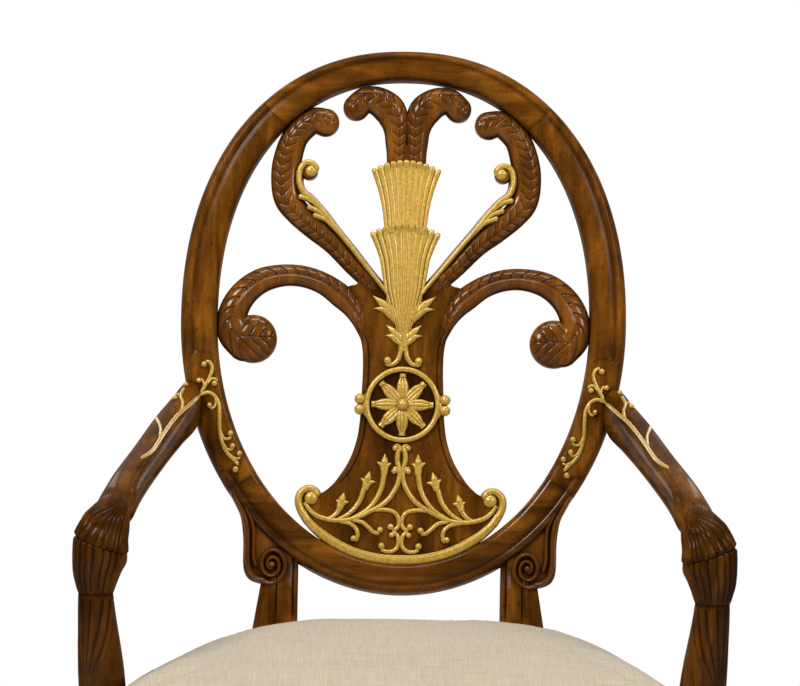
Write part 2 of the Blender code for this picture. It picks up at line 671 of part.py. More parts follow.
def leg_rings(side, grow=0.0):
    post_top = (BACK @ Vector((0, POST_TOP_V * V_SCALE, 0))).z
    levels = [post_top, RAIL_TOP + FLARE_HEIGHT, RAIL_TOP]
    levels += [RAIL_BOTTOM + (LEG_BOTTOM - RAIL_BOTTOM) * k / 8 for k in range(9)]
    face = POST_FACE / POST_WIDTH
    rings = []
    for z in levels:
        inner, width, depth = leg_section(z)
        outline = [(0, -0.5), (face, -0.5), (1, -0.05), (1, 0.4), (0.9, 0.5), (0, 0.5)]
        swell = 1 + 2 * grow / min(width, depth)
        ring = []
        for share, level in outline:
            x = inner + width / 2 + (share - 0.5) * width * swell
            ring.append((x * side, leg_y(z) + level * depth * swell, z))
        rings.append(ring)
    return rings


def rear_leg(side, label):
    name = f"rear_leg_{label}"
    leg = place(name, loft(name, leg_rings(side)), MAHOGANY)
    flip = list if side < 0 else mirrored
    bracket = plate(f"bracket_{label}", drawn(flip(BRACKET)), BRACKET_BACK, BRACKET_FRONT)
    (u, v), = drawn(flip([BRACKET_SCROLL]))
    low, high = BRACKET_FRONT - 0.004, BRACKET_FRONT + SCROLL_PROUD
    scroll = rod(f"bracket_scroll_{label}", (u, v, (low + high) / 2), (0, 0, 1), high - low,
                 SCROLL_RADIUS, sides=20)
    fuse(leg, place(bracket.name, bracket, None, back_frame))
    fuse(leg, place(scroll.name, scroll, None, back_frame))
    cut(leg, surround_cutter)
    angle = 3 * math.pi / 2 + BRACKET_DOWEL_TURN * side
    edge = oval_point(OVAL_HALF_WIDTH, OVAL_HALF_HEIGHT, angle)
    normal = Vector((edge.x / OVAL_HALF_WIDTH ** 2, edge.y / OVAL_HALF_HEIGHT ** 2)).normalized()
    dowel(f"bracket_dowel_{label}", (*edge, (BRACKET_BACK + BRACKET_FRONT) / 2), (*normal, 0),
          BRACKET_DOWEL_LENGTH, DOWEL_RADIUS, (leg, lower_rail))
    return leg


rear_legs = {side: rear_leg(side, label) for side, label in ((-1, "left"), (1, "right"))}


def leg_cutter(side, grow, name):
    return place(name, loft(name, leg_rings(side, grow)), None)


# Depth of the seat, from the rear rail between the legs forward

RAIL_INSET = COVER_THICKNESS + SIDE_BULGE + 3 * FIT
REAR_LEG_FRONT = leg_y(RAIL_TOP) - (POST_DEPTH + LEG_FLARE) / 2
REAR_RAIL_FRONT = REAR_LEG_FRONT + REAR_RAIL_SETBACK
REAR_RAIL_BACK = REAR_RAIL_FRONT + REAR_RAIL_THICKNESS
SEAT_BACK_Y = REAR_RAIL_BACK + RAIL_INSET
SEAT_FRONT_Y = SEAT_BACK_Y - SEAT_DEPTH
FRONT_LEG_X = SEAT_FRONT_HALF_WIDTH - FRONT_LEG_INSET
FRONT_LEG_Y = SEAT_FRONT_Y + FRONT_LEG_SETBACK


# Seat plan: straight back, sides that swell towards the front, a gently bowed front

SEAT_BACK_HALF_WIDTH = POST_INNER + POST_WIDTH / 2
SIDE_POWER = 0.8


def side_x(y):
    share = min(max((SEAT_BACK_Y - y) / (SEAT_BACK_Y - SEAT_FRONT_Y), 0.0), 1.0)
    swell = math.sin(share * math.pi / 2) ** SIDE_POWER
    return SEAT_BACK_HALF_WIDTH + (SEAT_FRONT_HALF_WIDTH - SEAT_BACK_HALF_WIDTH) * swell


def front_y(x):
    return SEAT_FRONT_Y - SEAT_BOW * (1 - (x / SEAT_FRONT_HALF_WIDTH) ** 2)


def side_normal(y):
    slope = (side_x(y + 0.002) - side_x(y - 0.002)) / 0.004
    return Vector((1, -slope)).normalized()


# Arms: round-sided sections along a line from the stile to the fluted end

SECTION_SIDES = 12
SUPPORT_FOOT_Y = SEAT_FRONT_Y + SUPPORT_SETBACK
SUPPORT_FOOT_X = side_x(SUPPORT_FOOT_Y) + SUPPORT_STAND_OUT
ARM_END_X = SUPPORT_FOOT_X + ARM_END_OUT
ARM_END_Y = SUPPORT_FOOT_Y - ARM_END_AHEAD


def arm_joint():
    """Where the middle of an arm meets the oval's outer edge, in the frame of the back."""
    v = ARM_JOINT_V * V_SCALE
    return OVAL_HALF_WIDTH * math.sqrt(1 - (v / OVAL_HALF_HEIGHT) ** 2), v


def arm_line(side):
    """Middle points of an arm with its half width across and half height."""
    edge, v = arm_joint()
    start = BACK @ Vector((edge, v, 0))
    run = Vector((ARM_END_X, ARM_END_Y, ARM_END_Z)) - start

    def along(share_x, share_y, share_z):
        return start + Vector((run.x * share_x, run.y * share_y, run.z * share_z))

    thick, knuckle = ARM_HALF_WIDTH, KNUCKLE_HALF_WIDTH
    root, mid = ARM_ROOT_HALF_HEIGHT, ARM_MID_HALF_HEIGHT
    knots = [(BACK @ Vector((edge + ARM_ROOT_OUT * 0.6, v, -0.65 * thick)), thick * 0.75, root * 0.9),
             (BACK @ Vector((edge + ARM_ROOT_OUT, v, 0.65 * thick)), thick * 0.8, root * 0.95),
             (along(0.06, 0.13, 0.09), thick * 0.92, root * 0.88),
             (along(0.245, 0.28, 0.21), thick, root * 0.35 + mid * 0.65),
             (along(0.463, 0.50, 0.38), thick, mid),
             (along(0.68, 0.75, 0.56), thick, mid),
             (along(0.80, 0.90, 0.70), thick * 1.03, mid),
             (along(0.925, 0.98, 0.86), knuckle * 0.84, knuckle * 0.8),
             (along(1, 1, 1), knuckle, knuckle * 0.94)]
    return [(point.x * side, point.y, point.z, half, tall) for point, half, tall in knots]


def arm_sections(side, steps=2):
    """For each ring of an arm its middle, its sideways and its upward half axes."""
    knots = arm_line(side)
    places = smooth([k[:3] for k in knots], steps)
    sizes = smooth([k[3:] for k in knots], steps)
    frames = []
    for k, middle in enumerate(places):
        run = places[min(k + 1, len(places) - 1)] - places[max(k - 1, 0)]
        if k < len(places) - 3:
            plan = run.xy.normalized()
        if k == len(places) - 1:
            run = Vector((0, 0, -1))
        across = Vector((-plan.y, plan.x, 0))
        rise = run.cross(across).normalized()
        frames.append((middle, across * sizes[k][0], rise * sizes[k][1]))
    return frames


def round_ring(middle, across, rise, sides=SECTION_SIDES):
    """A ring with softly squared sides."""
    ring = []
    for k in range(sides):
        c, s = math.cos(math.tau * k / sides), math.sin(math.tau * k / sides)
        ring.append(middle + across * math.copysign(abs(c) ** 0.85, c)
                    + rise * math.copysign(abs(s) ** 0.85, s))
    return ring


def support_rings(side):
    """Rings of an arm support: bulb, neck, then a shaft down to the side rail."""
    top = ARM_END_Z - FIT
    neck = ARM_END_Z - BULB_HEIGHT
    bulb = top - neck
    shaft = neck - SUPPORT_FOOT_Z
    neck_x = ARM_END_X + NECK_OUT
    lean_y = SUPPORT_FOOT_Y - ARM_END_Y
    knots = [(ARM_END_X, 0.0, top, KNUCKLE_HALF_WIDTH),
             (ARM_END_X + NECK_OUT * 0.2, 0.0, top - 0.28 * bulb, BULB_HALF_WIDTH),
             (ARM_END_X + NECK_OUT * 0.8, 0.0, top - 0.65 * bulb, BULB_HALF_WIDTH * 0.88),
             (neck_x, 0.0, neck, NECK_HALF_WIDTH),
             (neck_x * 0.85 + SUPPORT_FOOT_X * 0.15, 0.06, neck - 0.13 * shaft, NECK_HALF_WIDTH * 1.03),
             (neck_x * 0.3 + SUPPORT_FOOT_X * 0.7, 0.45, SUPPORT_FOOT_Z + 0.5 * shaft, SUPPORT_HALF_WIDTH),
             (SUPPORT_FOOT_X, 0.8, SUPPORT_FOOT_Z + 0.22 * shaft, SUPPORT_HALF_WIDTH),
             (SUPPORT_FOOT_X, 1.0, SUPPORT_FOOT_Z, SUPPORT_HALF_WIDTH * 0.88)]
    rings = []
    for x, share_y, z, half in smooth(knots, 2):
        middle = Vector((x * side, ARM_END_Y + lean_y * share_y, z))
        rings.append(round_ring(middle, Vector((half, 0, 0)), Vector((0, half * 0.92, 0))))
    return rings


def arm_scroll(name, side, frames):
    """A gilt line along the top of an arm, a little to its inner side."""
    curve = bpy.data.curves.new(name, "CURVE")
    curve.dimensions = "3D"
    curve.bevel_depth = ARM_SCROLL_RADIUS
    curve.bevel_resolution = 1
    curve.use_fill_caps = True
    spline = curve.splines.new("POLY")
    spline.points.add(len(frames) - 1)
    for point, (middle, across, rise) in zip(spline.points, frames):
        reach = round_ring(Vector(), across * -side, rise)[SECTION_SIDES // 6]
        lift = 1 + (ARM_SCROLL_RADIUS + 3 * FIT) / reach.length
        point.co = (*(middle + reach * lift), 1)
    line = bpy.data.objects.new(name, curve)
    PARTS.objects.link(line)
    curve.materials.append(GILT)
    return line


supports = {}
for side, label in ((-1, "left"), (1, "right")):
    frames = arm_sections(side)
    arm = place(f"arm_{label}", loft(f"arm_{label}", [round_ring(*frame) for frame in frames]), MAHOGANY)
    cut(arm, surround_cutter)
    support = place(f"arm_support_{label}", loft(f"arm_support_{label}", support_rings(side)), MAHOGANY)
    edge_u, edge_v = arm_joint()
    stile = stile_left if side < 0 else stile_right
    dowel(f"arm_dowel_{label}", (edge_u * side, edge_v, 0), (1, 0, 0), ARM_DOWEL_LENGTH, DOWEL_RADIUS,
          (arm, stile))
    dowel(f"knuckle_dowel_{label}", (ARM_END_X * side, ARM_END_Y, ARM_END_Z), (0, 0, 1), DOWEL_LENGTH,
          DOWEL_RADIUS, (arm, support), frame=None)
    arm_scroll(f"arm_scroll_{label}", side, frames[4:10])
    supports[side] = support


# Front legs: square and tapered, on spade feet

def square_ring(x, y, z, half):
    """A square with its corners taken off."""
    c = half * 0.8
    corners = [(c, -half), (half, -c), (half, c), (c, half),
               (-c, half), (-half, c), (-half, -c), (-c, -half)]
    return [(x + dx, y + dy, z) for dx, dy in corners]


def front_leg_rings(side, grow=0.0):
    top, ankle, spade = FRONT_LEG_TOP / 2, FRONT_LEG_ANKLE / 2, SPADE_FOOT_WIDTH / 2
    levels = [(RAIL_TOP, top), (RAIL_BOTTOM - 0.012, top), (RAIL_BOTTOM - 0.022, top * 0.93),
              (SPADE_FOOT_HEIGHT + 0.008, ankle), (SPADE_FOOT_HEIGHT, spade * 0.94),
              (SPADE_FOOT_HEIGHT - 0.008, spade), (LEG_BOTTOM, ankle * 1.08)]
    return [square_ring(FRONT_LEG_X * side, FRONT_LEG_Y, z, half + grow) for z, half in levels]


front_legs = {}
for side, label in ((-1, "left"), (1, "right")):
    name = f"front_leg_{label}"
    front_legs[side] = place(name, loft(name, front_leg_rings(side)), MAHOGANY)

foot_inner, foot_width, _ = leg_section(LEG_BOTTOM)
GLIDE_PLACES = {"front_left": (-FRONT_LEG_X, FRONT_LEG_Y), "front_right": (FRONT_LEG_X, FRONT_LEG_Y),
                "rear_left": (-foot_inner - foot_width / 2, leg_y(LEG_BOTTOM)),
                "rear_right": (foot_inner + foot_width / 2, leg_y(LEG_BOTTOM))}
for label, (x, y) in GLIDE_PLACES.items():
    name = f"glide_{label}"
    place(name, rod(name, (x, y, GLIDE_HEIGHT / 2), (0, 0, 1), GLIDE_HEIGHT, GLIDE_RADIUS, sides=16), NYLON)


def seat_outline(inset):
    """The seat's edge as a closed line, drawn in by an inset."""
    last_y = SEAT_FRONT_Y + SEAT_CORNER
    half = [(0, SEAT_BACK_Y), (SEAT_BACK_HALF_WIDTH * 0.5, SEAT_BACK_Y)]
    for share in (0.0, 0.015, 0.04, 0.08, 0.14, 0.22, 0.32, 0.44, 0.56, 0.68, 0.8, 0.9, 1.0):
        y = SEAT_BACK_Y + (last_y - SEAT_BACK_Y) * share
        half.append((side_x(y), y))
    start = Vector(half[-1])
    end = Vector((start.x - SEAT_CORNER, front_y(start.x - SEAT_CORNER)))
    bend = Vector((start.x, end.y))
    half += [start.lerp(bend, t).lerp(bend.lerp(end, t), t) for t in (0.3, 0.6)]
    half += [(x, front_y(x)) for x in (end.x * share for share in (1, 0.75, 0.5, 0.25, 0))]
    line = [Vector(p) for p in half + mirrored(half[1:-1])[::-1]]
    drawn_in = []
    for k, point in enumerate(line):
        along = (line[(k + 1) % len(line)] - line[k - 1]).normalized()
        drawn_in.append(point + Vector((along.y, -along.x)) * inset)
    return drawn_in


SEAT_MIDDLE = Vector((0, (SEAT_BACK_Y + SEAT_FRONT_Y) / 2))
DOME_SHARES = (0.93, 0.82, 0.66, 0.45, 0.22)


def crown_point(edge_point, share):
    """A point between edge and crown, on rings that turn from the seat's outline to an oval."""
    reach = edge_point - SEAT_MIDDLE
    c, s = reach.normalized()
    round_reach = 1 / math.hypot(c / SEAT_FRONT_HALF_WIDTH, 2 * s / (SEAT_BACK_Y - SEAT_FRONT_Y))
    return SEAT_MIDDLE + Vector((c, s)) * share * (reach.length * share + round_reach * (1 - share))


def dome_rings(inset, sink):
    """Rings of the upholstered top, from under its rolled edge to the crown."""
    rings = [[(*p, SEAT_EDGE_Z - SEAT_ROLL - sink) for p in seat_outline(inset)],
             [(*p, SEAT_EDGE_Z - SEAT_ROLL * 0.35 - sink) for p in seat_outline(inset + SEAT_ROLL * 0.08)],
             [(*p, SEAT_EDGE_Z + SEAT_ROLL * 0.1 - sink) for p in seat_outline(inset + SEAT_ROLL * 0.4)]]
    for share in DOME_SHARES:
        z = SEAT_EDGE_Z + SEAT_CROWN * (1 - share ** DOME_POWER) - sink
        rings.append([(*crown_point(p, share), z) for p in seat_outline(inset + SEAT_ROLL * 0.4)])
    return rings


leg_notches = [leg_cutter(side, NOTCH_CLEARANCE, f"notch_{side}") for side in (-1, 1)]
leg_mortises = [leg_cutter(side, FIT, f"mortise_{side}") for side in (-1, 1)]


def linen_cover():
    skirt = [[(*p, RAIL_BOTTOM) for p in seat_outline(SIDE_BULGE)],
             [(*p, (RAIL_BOTTOM + RAIL_TOP) / 2) for p in seat_outline(SIDE_BULGE * 0.3)]]
    cover = place("linen_cover", loft("linen_cover", skirt + dome_rings(0, 0), open_start=True), LINEN)
    shell = cover.modifiers.new("cloth", "SOLIDIFY")
    shell.thickness = COVER_THICKNESS
    shell.offset = -1
    shell.use_even_offset = True
    cut(cover, *leg_notches)
    return cover


cover = linen_cover()

STRAP_BOTTOM = RAIL_TOP + FIT
PAD_BOTTOM = STRAP_BOTTOM + STRAP_THICKNESS + FIT
pad_inset = COVER_THICKNESS + 3 * FIT
pad_rings = dome_rings(pad_inset, pad_inset)
pad_rings.insert(0, [(p[0], p[1], PAD_BOTTOM) for p in pad_rings[0]])
pad_rings = [pad_rings[0]] + [ring for ring in pad_rings[1:] if ring[0][2] > PAD_BOTTOM + 0.001]
padding = place("seat_padding", loft("seat_padding", pad_rings), PADDING)
cut(padding, *leg_notches)


# Seat rails

RAIL_FRONT_END = FRONT_LEG_Y + FRONT_LEG_TOP / 2 + FIT
RAIL_STEPS = 12


def rail_faces(step):
    """Outer and inner point of a side rail at a step; the outer face runs on into the chamfer."""
    share = step / RAIL_STEPS
    outer_y = RAIL_FRONT_END + (REAR_LEG_FRONT + RAIL_HOUSING - RAIL_FRONT_END) * share
    inner_y = RAIL_FRONT_END + (REAR_LEG_FRONT - 2 * FIT - RAIL_FRONT_END) * share
    outer = side_x(outer_y) - RAIL_INSET / side_normal(outer_y).x
    inner = side_x(inner_y) - (RAIL_INSET + RAIL_THICKNESS) / side_normal(inner_y).x
    return (outer, outer_y), (inner, inner_y)


def side_rail(side, label):
    rings = []
    for step in range(RAIL_STEPS + 1):
        (outer, outer_y), (inner, inner_y) = rail_faces(step)
        rings.append([(outer * side, outer_y, RAIL_BOTTOM), (outer * side, outer_y, RAIL_TOP),
                      (inner * side, inner_y, RAIL_TOP), (inner * side, inner_y, RAIL_BOTTOM)])
    rail = place(f"side_rail_{label}", loft(f"side_rail_{label}", rings), BEECH)
    cut(rail, leg_mortises[0 if side < 0 else 1])
    return rail


side_rails = {side: side_rail(side, label) for side, label in ((-1, "left"), (1, "right"))}


def front_rail():
    reach = FRONT_LEG_X - FRONT_LEG_TOP / 2 - FIT
    rings = []
    for k in range(9):
        x = reach * (k / 4 - 1)
        outer = front_y(x) + RAIL_INSET
        inner = outer + RAIL_THICKNESS
        rings.append([(x, outer, RAIL_BOTTOM), (x, outer, RAIL_TOP),
                      (x, inner, RAIL_TOP), (x, inner, RAIL_BOTTOM)])
    return place("front_rail", loft("front_rail", rings), BEECH)


front_rail()


def box(name, low, high):
    form = bmesh.new()
    size = Vector(high) - Vector(low)
    bmesh.ops.create_cube(form, size=1, matrix=Matrix.Translation((Vector(high) + Vector(low)) / 2)
                          @ Matrix.Diagonal((*size, 1)))
    return finished_mesh(name, form)


rear_reach = POST_INNER + POST_WIDTH / 4
rear_rail = place("rear_rail", box("rear_rail", (-rear_reach, REAR_RAIL_FRONT, RAIL_BOTTOM),
                                   (rear_reach, REAR_RAIL_BACK, RAIL_TOP)), BEECH)
cut(rear_rail, *leg_mortises)


# Corner blocks, each wrapped round the inner corner of its leg

def rail_inside(y):
    """Inner face of a side rail at a depth, read between its steps, with the fit taken off."""
    faces = [rail_faces(step)[1] for step in range(RAIL_STEPS + 1)]
    for (near, near_y), (far, far_y) in zip(faces, faces[1:]):
        if y <= far_y:
            break
    return near + (far - near) * (y - near_y) / (far_y - near_y) - FIT / side_normal(y).x


def corner_block(name, side, outline):
    high = RAIL_TOP - BLOCK_DROP
    points = [(x * side, y) for x, y in outline]
    place(name, plate(name, points, high - BLOCK_HEIGHT, high), BEECH)


leg_in = FRONT_LEG_X - FRONT_LEG_TOP / 2 - FIT
leg_rear = RAIL_FRONT_END
block_rear = leg_rear + BLOCK_REACH
front_face = [front_y(x) + RAIL_INSET + RAIL_THICKNESS + FIT for x in (leg_in - BLOCK_REACH, leg_in)]
front_block = [(leg_in - BLOCK_REACH, front_face[0]), (leg_in, front_face[1]), (leg_in, leg_rear),
               (rail_inside(leg_rear), leg_rear), (rail_inside(block_rear), block_rear)]
post_in = POST_INNER - 2 * FIT
post_front = REAR_LEG_FRONT - 3 * FIT
rear_block = [(post_in - BLOCK_REACH * 0.7, REAR_RAIL_FRONT - FIT), (post_in, REAR_RAIL_FRONT - FIT),
              (post_in, post_front), (rail_inside(post_front), post_front),
              (rail_inside(post_front - BLOCK_REACH), post_front - BLOCK_REACH)]
for side, label in ((-1, "left"), (1, "right")):
    corner_block(f"corner_block_front_{label}", side, front_block)
    corner_block(f"corner_block_rear_{label}", side, rear_block)


# Webbing and dust cover

def webbing():
    edge = RAIL_INSET + STRAP_EDGE
    mats = []
    for k in (0, -1, 1):
        x = k * STRAP_SPACING_X
        front = max(front_y(x - STRAP_WIDTH / 2), front_y(x + STRAP_WIDTH / 2)) + edge
        mats.append(((x - STRAP_WIDTH / 2, front, STRAP_BOTTOM),
                     (x + STRAP_WIDTH / 2, SEAT_BACK_Y - edge, STRAP_BOTTOM + STRAP_THICKNESS)))
    for k in (-1, 0, 1):
        y = SEAT_MIDDLE.y - STRAP_AHEAD + k * STRAP_SPACING_Y
        reach = side_x(y + STRAP_WIDTH / 2) - 2 * edge
        mats.append(((-reach, y - STRAP_WIDTH / 2, STRAP_BOTTOM + FIT / 3),
                     (reach, y + STRAP_WIDTH / 2, STRAP_BOTTOM + STRAP_THICKNESS - FIT / 3)))
    first = place("seat_webbing", box("seat_webbing", *mats[0]), WEBBING)
    # the three cross straps tie the three long ones into one mat
    for k, (low, high) in enumerate(mats[3:] + mats[1:3]):
        fuse(first, place(f"strap_{k}", box(f"strap_{k}", low, high), None))


webbing()

DUST_COVER_TOP = RAIL_BOTTOM - FIT
dust_cover = place("dust_cover", plate("dust_cover", seat_outline(RAIL_INSET + DUST_COVER_MARGIN),
                                       DUST_COVER_TOP - DUST_COVER_THICKNESS, DUST_COVER_TOP), CAMBRIC)
cut(dust_cover, *leg_mortises)
for side, leg in front_legs.items():
    name = f"front_notch_{side}"
    cut(dust_cover, place(name, loft(name, front_leg_rings(side, FIT)), None))


# Supports seat against the sides of the cover and are bolted through the side rails

support_seat = place("support_seat", plate("support_seat", seat_outline(-FIT), RAIL_BOTTOM - 0.01,
                                           SEAT_EDGE_Z + FIT), None)


def support_bolt(side, label):
    cut(supports[side], support_seat)
    out = Vector((*side_normal(SUPPORT_FOOT_Y), 0))
    foot = Vector((side_x(SUPPORT_FOOT_Y), SUPPORT_FOOT_Y, BOLT_Z))
    head_face = RAIL_INSET + RAIL_THICKNESS + 2 * FIT
    shank = head_face + BOLT_DEPTH
    flip = Vector((side, 1, 1))

    def at(depth):
        return (foot + out * depth) * flip

    name = f"support_bolt_{label}"
    centre = at((BOLT_DEPTH - head_face) / 2)
    direction = out * flip
    bolt = place(name, rod(name, centre, direction, shank, BOLT_RADIUS), STEEL)
    head = rod(f"bolt_head_{label}", at(FIT - head_face - BOLT_HEAD_HEIGHT / 2), direction,
               BOLT_HEAD_HEIGHT, BOLT_HEAD_RADIUS)
    fuse(bolt, place(head.name, head, None))
    bore = place(f"bolt_bore_{label}", rod(f"bolt_bore_{label}", centre, direction, shank + 2 * FIT,
                                           BOLT_RADIUS + FIT), None)
    cut(supports[side], bore)
    cut(side_rails[side], bore)
    cut(cover, bore)


support_bolt(-1, "left")
support_bolt(1, "right")
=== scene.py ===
# %% [markdown]
# # Dressing an oval back armchair
# The joiner's work is done: every rail, leg, arm and dowel of the chair stands in its place as a plain
# solid. This lesson does the carver's, the gilder's and the upholsterer's work on it. Each cell makes one
# kind of piece and puts it where its plain solid stands.

# %% Load the joined chair
import math

import bmesh
import bpy
from mathutils import Matrix, Vector
from mathutils.bvhtree import BVHTree


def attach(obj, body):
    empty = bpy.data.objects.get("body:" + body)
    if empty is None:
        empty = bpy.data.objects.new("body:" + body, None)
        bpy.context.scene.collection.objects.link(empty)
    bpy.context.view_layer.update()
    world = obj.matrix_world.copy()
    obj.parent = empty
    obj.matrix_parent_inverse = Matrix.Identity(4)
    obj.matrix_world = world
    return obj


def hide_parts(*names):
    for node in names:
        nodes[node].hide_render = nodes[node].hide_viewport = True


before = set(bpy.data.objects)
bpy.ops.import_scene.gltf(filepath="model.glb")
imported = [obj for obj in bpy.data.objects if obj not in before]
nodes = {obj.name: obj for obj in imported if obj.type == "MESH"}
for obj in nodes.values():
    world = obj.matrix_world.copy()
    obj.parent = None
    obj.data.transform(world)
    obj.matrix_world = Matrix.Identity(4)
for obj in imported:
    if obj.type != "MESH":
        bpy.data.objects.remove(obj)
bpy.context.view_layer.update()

# %% [markdown]
# ## Where the picture is taken from
# A long lens from three metres keeps the oval's proportions true. The eye is a little above the middle of
# the back, so it looks slightly down on the arms and the seat.

# %% Camera
EYE = Vector((-0.0473, -3.0269, 0.9379))
lens = bpy.data.cameras.new("portrait_lens")
lens.lens, lens.sensor_width = 146.4, 36.0
camera = bpy.data.objects.new("portrait_camera", lens)
camera.matrix_world = (Matrix.Translation(EYE) @ Matrix.Rotation(math.radians(-0.777), 4, "Z")
                       @ Matrix.Rotation(math.radians(90 - 3.353), 4, "X")
                       @ Matrix.Rotation(math.radians(1.138), 4, "Z"))
bpy.context.scene.collection.objects.link(camera)
bpy.context.scene.camera = camera
bpy.context.scene.view_settings.view_transform = "Standard"
print("the lens is", round(lens.lens, 1), "mm long")

# %% [markdown]
# ## Helpers for shader nodes
# A finish is a small tree of shader nodes, and so is the studio's surround. These helpers keep the trees
# short: `add` makes a node and plugs its inputs, `spread` lays a value over a ramp of colours, `overlay`
# lays one colour over another, and `dress` plugs a finish into its shader. Colours are written as a
# decorator reads them from a swatch, from 0 to 255.


# %% Nodes, ramps and layers
def swatch(red, green, blue):
    """A colour from a swatch as light."""
    return tuple(((c / 255 + 0.055) / 1.055) ** 2.4 if c > 10 else c / 255 / 12.92
                 for c in (red, green, blue)) + (1.0,)


def plug(tree, value, socket):
    if isinstance(value, bpy.types.NodeSocket):
        tree.links.new(value, socket)
    else:
        socket.default_value = value


def add(tree, kind, inputs, **settings):
    made = tree.nodes.new("ShaderNode" + kind)
    for key, value in settings.items():
        setattr(made, key, value)
    for key, value in inputs.items():
        plug(tree, value, made.inputs[key])
    return made


def spread(tree, value, *stops):
    """Colours over a value from 0 to 1; each stop is a place and a colour."""
    made = add(tree, "ValToRGB", {"Fac": value})
    for k, (place, colour) in enumerate(stops):
        steps = made.color_ramp.elements
        step = steps[k] if k < 2 else steps.new(place)
        step.position, step.color = place, colour
    return made.outputs["Color"]


def level(tree, value, low, high, to_low=0.0, to_high=1.0):
    """Moves a value from one range to another and keeps it there."""
    return add(tree, "MapRange", {"Value": value, "From Min": low, "From Max": high, "To Min": to_low,
                                  "To Max": to_high}).outputs["Result"]


def overlay(tree, share, below, above, mode="MIX"):
    made = add(tree, "Mix", {}, data_type="RGBA", blend_type=mode)
    for index, value in ((0, share), (6, below), (7, above)):
        plug(tree, value, made.inputs[index])
    return made.outputs[2]


def finish(name):
    material = bpy.data.materials.new(name)
    material.use_nodes = True
    tree = material.node_tree
    return material, tree, tree.nodes["Principled BSDF"]


# %% Textures, relief and hollows
EVEN = (1, 1, 1)


def here(tree, stretch):
    """Places on the object, stretched so that one noise fits the run of the grain."""
    spot = add(tree, "TexCoord", {}).outputs["Object"]
    return add(tree, "Mapping", {"Vector": spot, "Scale": stretch}).outputs["Vector"]


def noise(tree, spot, scale, detail=4.0, rough=0.55, warp=0.0):
    return add(tree, "TexNoise", {"Vector": spot, "Scale": scale, "Detail": detail, "Roughness": rough,
                                  "Distortion": warp}).outputs["Fac"]


def bump(tree, height, strength, distance):
    return add(tree, "Bump", {"Height": height, "Strength": strength, "Distance": distance}).outputs["Normal"]


def dress(tree, shader, inputs):
    for key, value in inputs.items():
        plug(tree, value, shader.inputs[key])


def recess(tree, reach):
    """How deep in a hollow a place lies, as painted shade: the darkness stored with the carving, together
    with shade from the walls around it.
    """
    carved = add(tree, "Attribute", {}, attribute_name="glaze_and_shade").outputs["Fac"]
    open_sky = add(tree, "AmbientOcclusion", {"Distance": reach}, samples=8).outputs["AO"]
    shade = level(tree, open_sky, 0.75, 0.25)
    return add(tree, "Math", {0: carved, 1: shade}, operation="MAXIMUM").outputs["Value"]


# %% [markdown]
# ## Light
# A studio would put one large softbox high on the left, a second lower on the right, a strip above and
# two narrow ones behind. Polished wood shows each of them as a soft streak, and that tells the eye how
# its mouldings turn. The camera sees a white surround. Polished wood mirrors that white backdrop where it
# turns away from us, and the dim side of the room where it faces us, so it keeps its depth.


# %% Softboxes
def softbox(name, place, aim, width, height, watts):
    light = bpy.data.lights.new(name, "AREA")
    light.shape, light.size, light.size_y, light.energy = "RECTANGLE", width, height, watts
    lamp = bpy.data.objects.new(name, light)
    lamp.location = place
    lamp.rotation_euler = (Vector(aim) - Vector(place)).to_track_quat("-Z", "Y").to_euler()
    bpy.context.scene.collection.objects.link(lamp)


softbox("key_left", (-1.7, -1.9, 2.8), (0, 0.1, 0.75), 1.1, 0.8, 66)
softbox("fill_right", (2.0, -1.9, 2.2), (0, 0.1, 0.7), 0.8, 0.9, 32)
softbox("top_strip", (0.0, -0.2, 2.7), (0, 0.1, 0.6), 1.6, 0.4, 20)
softbox("rim_right", (0.76, 1.74, 1.56), (-0.25, 0, 0.66), 0.16, 0.9, 2.2)
softbox("rim_left", (-0.76, 1.74, 1.56), (0.25, 0, 0.66), 0.16, 0.9, 2.2)

# %% Surround
surround = bpy.data.worlds.new("studio_surround")
surround.use_nodes = True
sky = surround.node_tree
sky.nodes.remove(sky.nodes["Background"])
axes = add(sky, "SeparateXYZ", {"Vector": add(sky, "TexCoord", {}).outputs["Generated"]}).outputs
backdrop = level(sky, axes["Y"], 0.3, 0.8, 0.05, 1.0)
dim, mirrored_room, white = (add(sky, "Background", {"Color": (1, 1, 1, 1), "Strength": strength}).outputs[0]
                             for strength in (0.26, backdrop, 1.0))
ray = add(sky, "LightPath", {}).outputs
polish_ray = add(sky, "Math", {0: ray["Is Glossy Ray"], 1: ray["Is Transmission Ray"]},
                 operation="MAXIMUM").outputs[0]
room = add(sky, "MixShader", {0: polish_ray, 1: dim, 2: mirrored_room}).outputs[0]
room = add(sky, "MixShader", {0: ray["Is Camera Ray"], 1: room, 2: white}).outputs[0]
sky.links.new(room, sky.nodes["World Output"].inputs["Surface"])
bpy.context.scene.world = surround
print("a surround of", len(sky.nodes), "shader nodes")


# %% Floor
def bare_object(name, form):
    mesh = bpy.data.meshes.new(name)
    form.to_mesh(mesh)
    form.free()
    made = bpy.data.objects.new(name, mesh)
    bpy.context.scene.collection.objects.link(made)
    return made


floor_form = bmesh.new()
bmesh.ops.create_grid(floor_form, x_segments=1, y_segments=1, size=2.2)
floor = bare_object("studio_floor", floor_form)
print("a floor of four metres and a half under five softboxes")
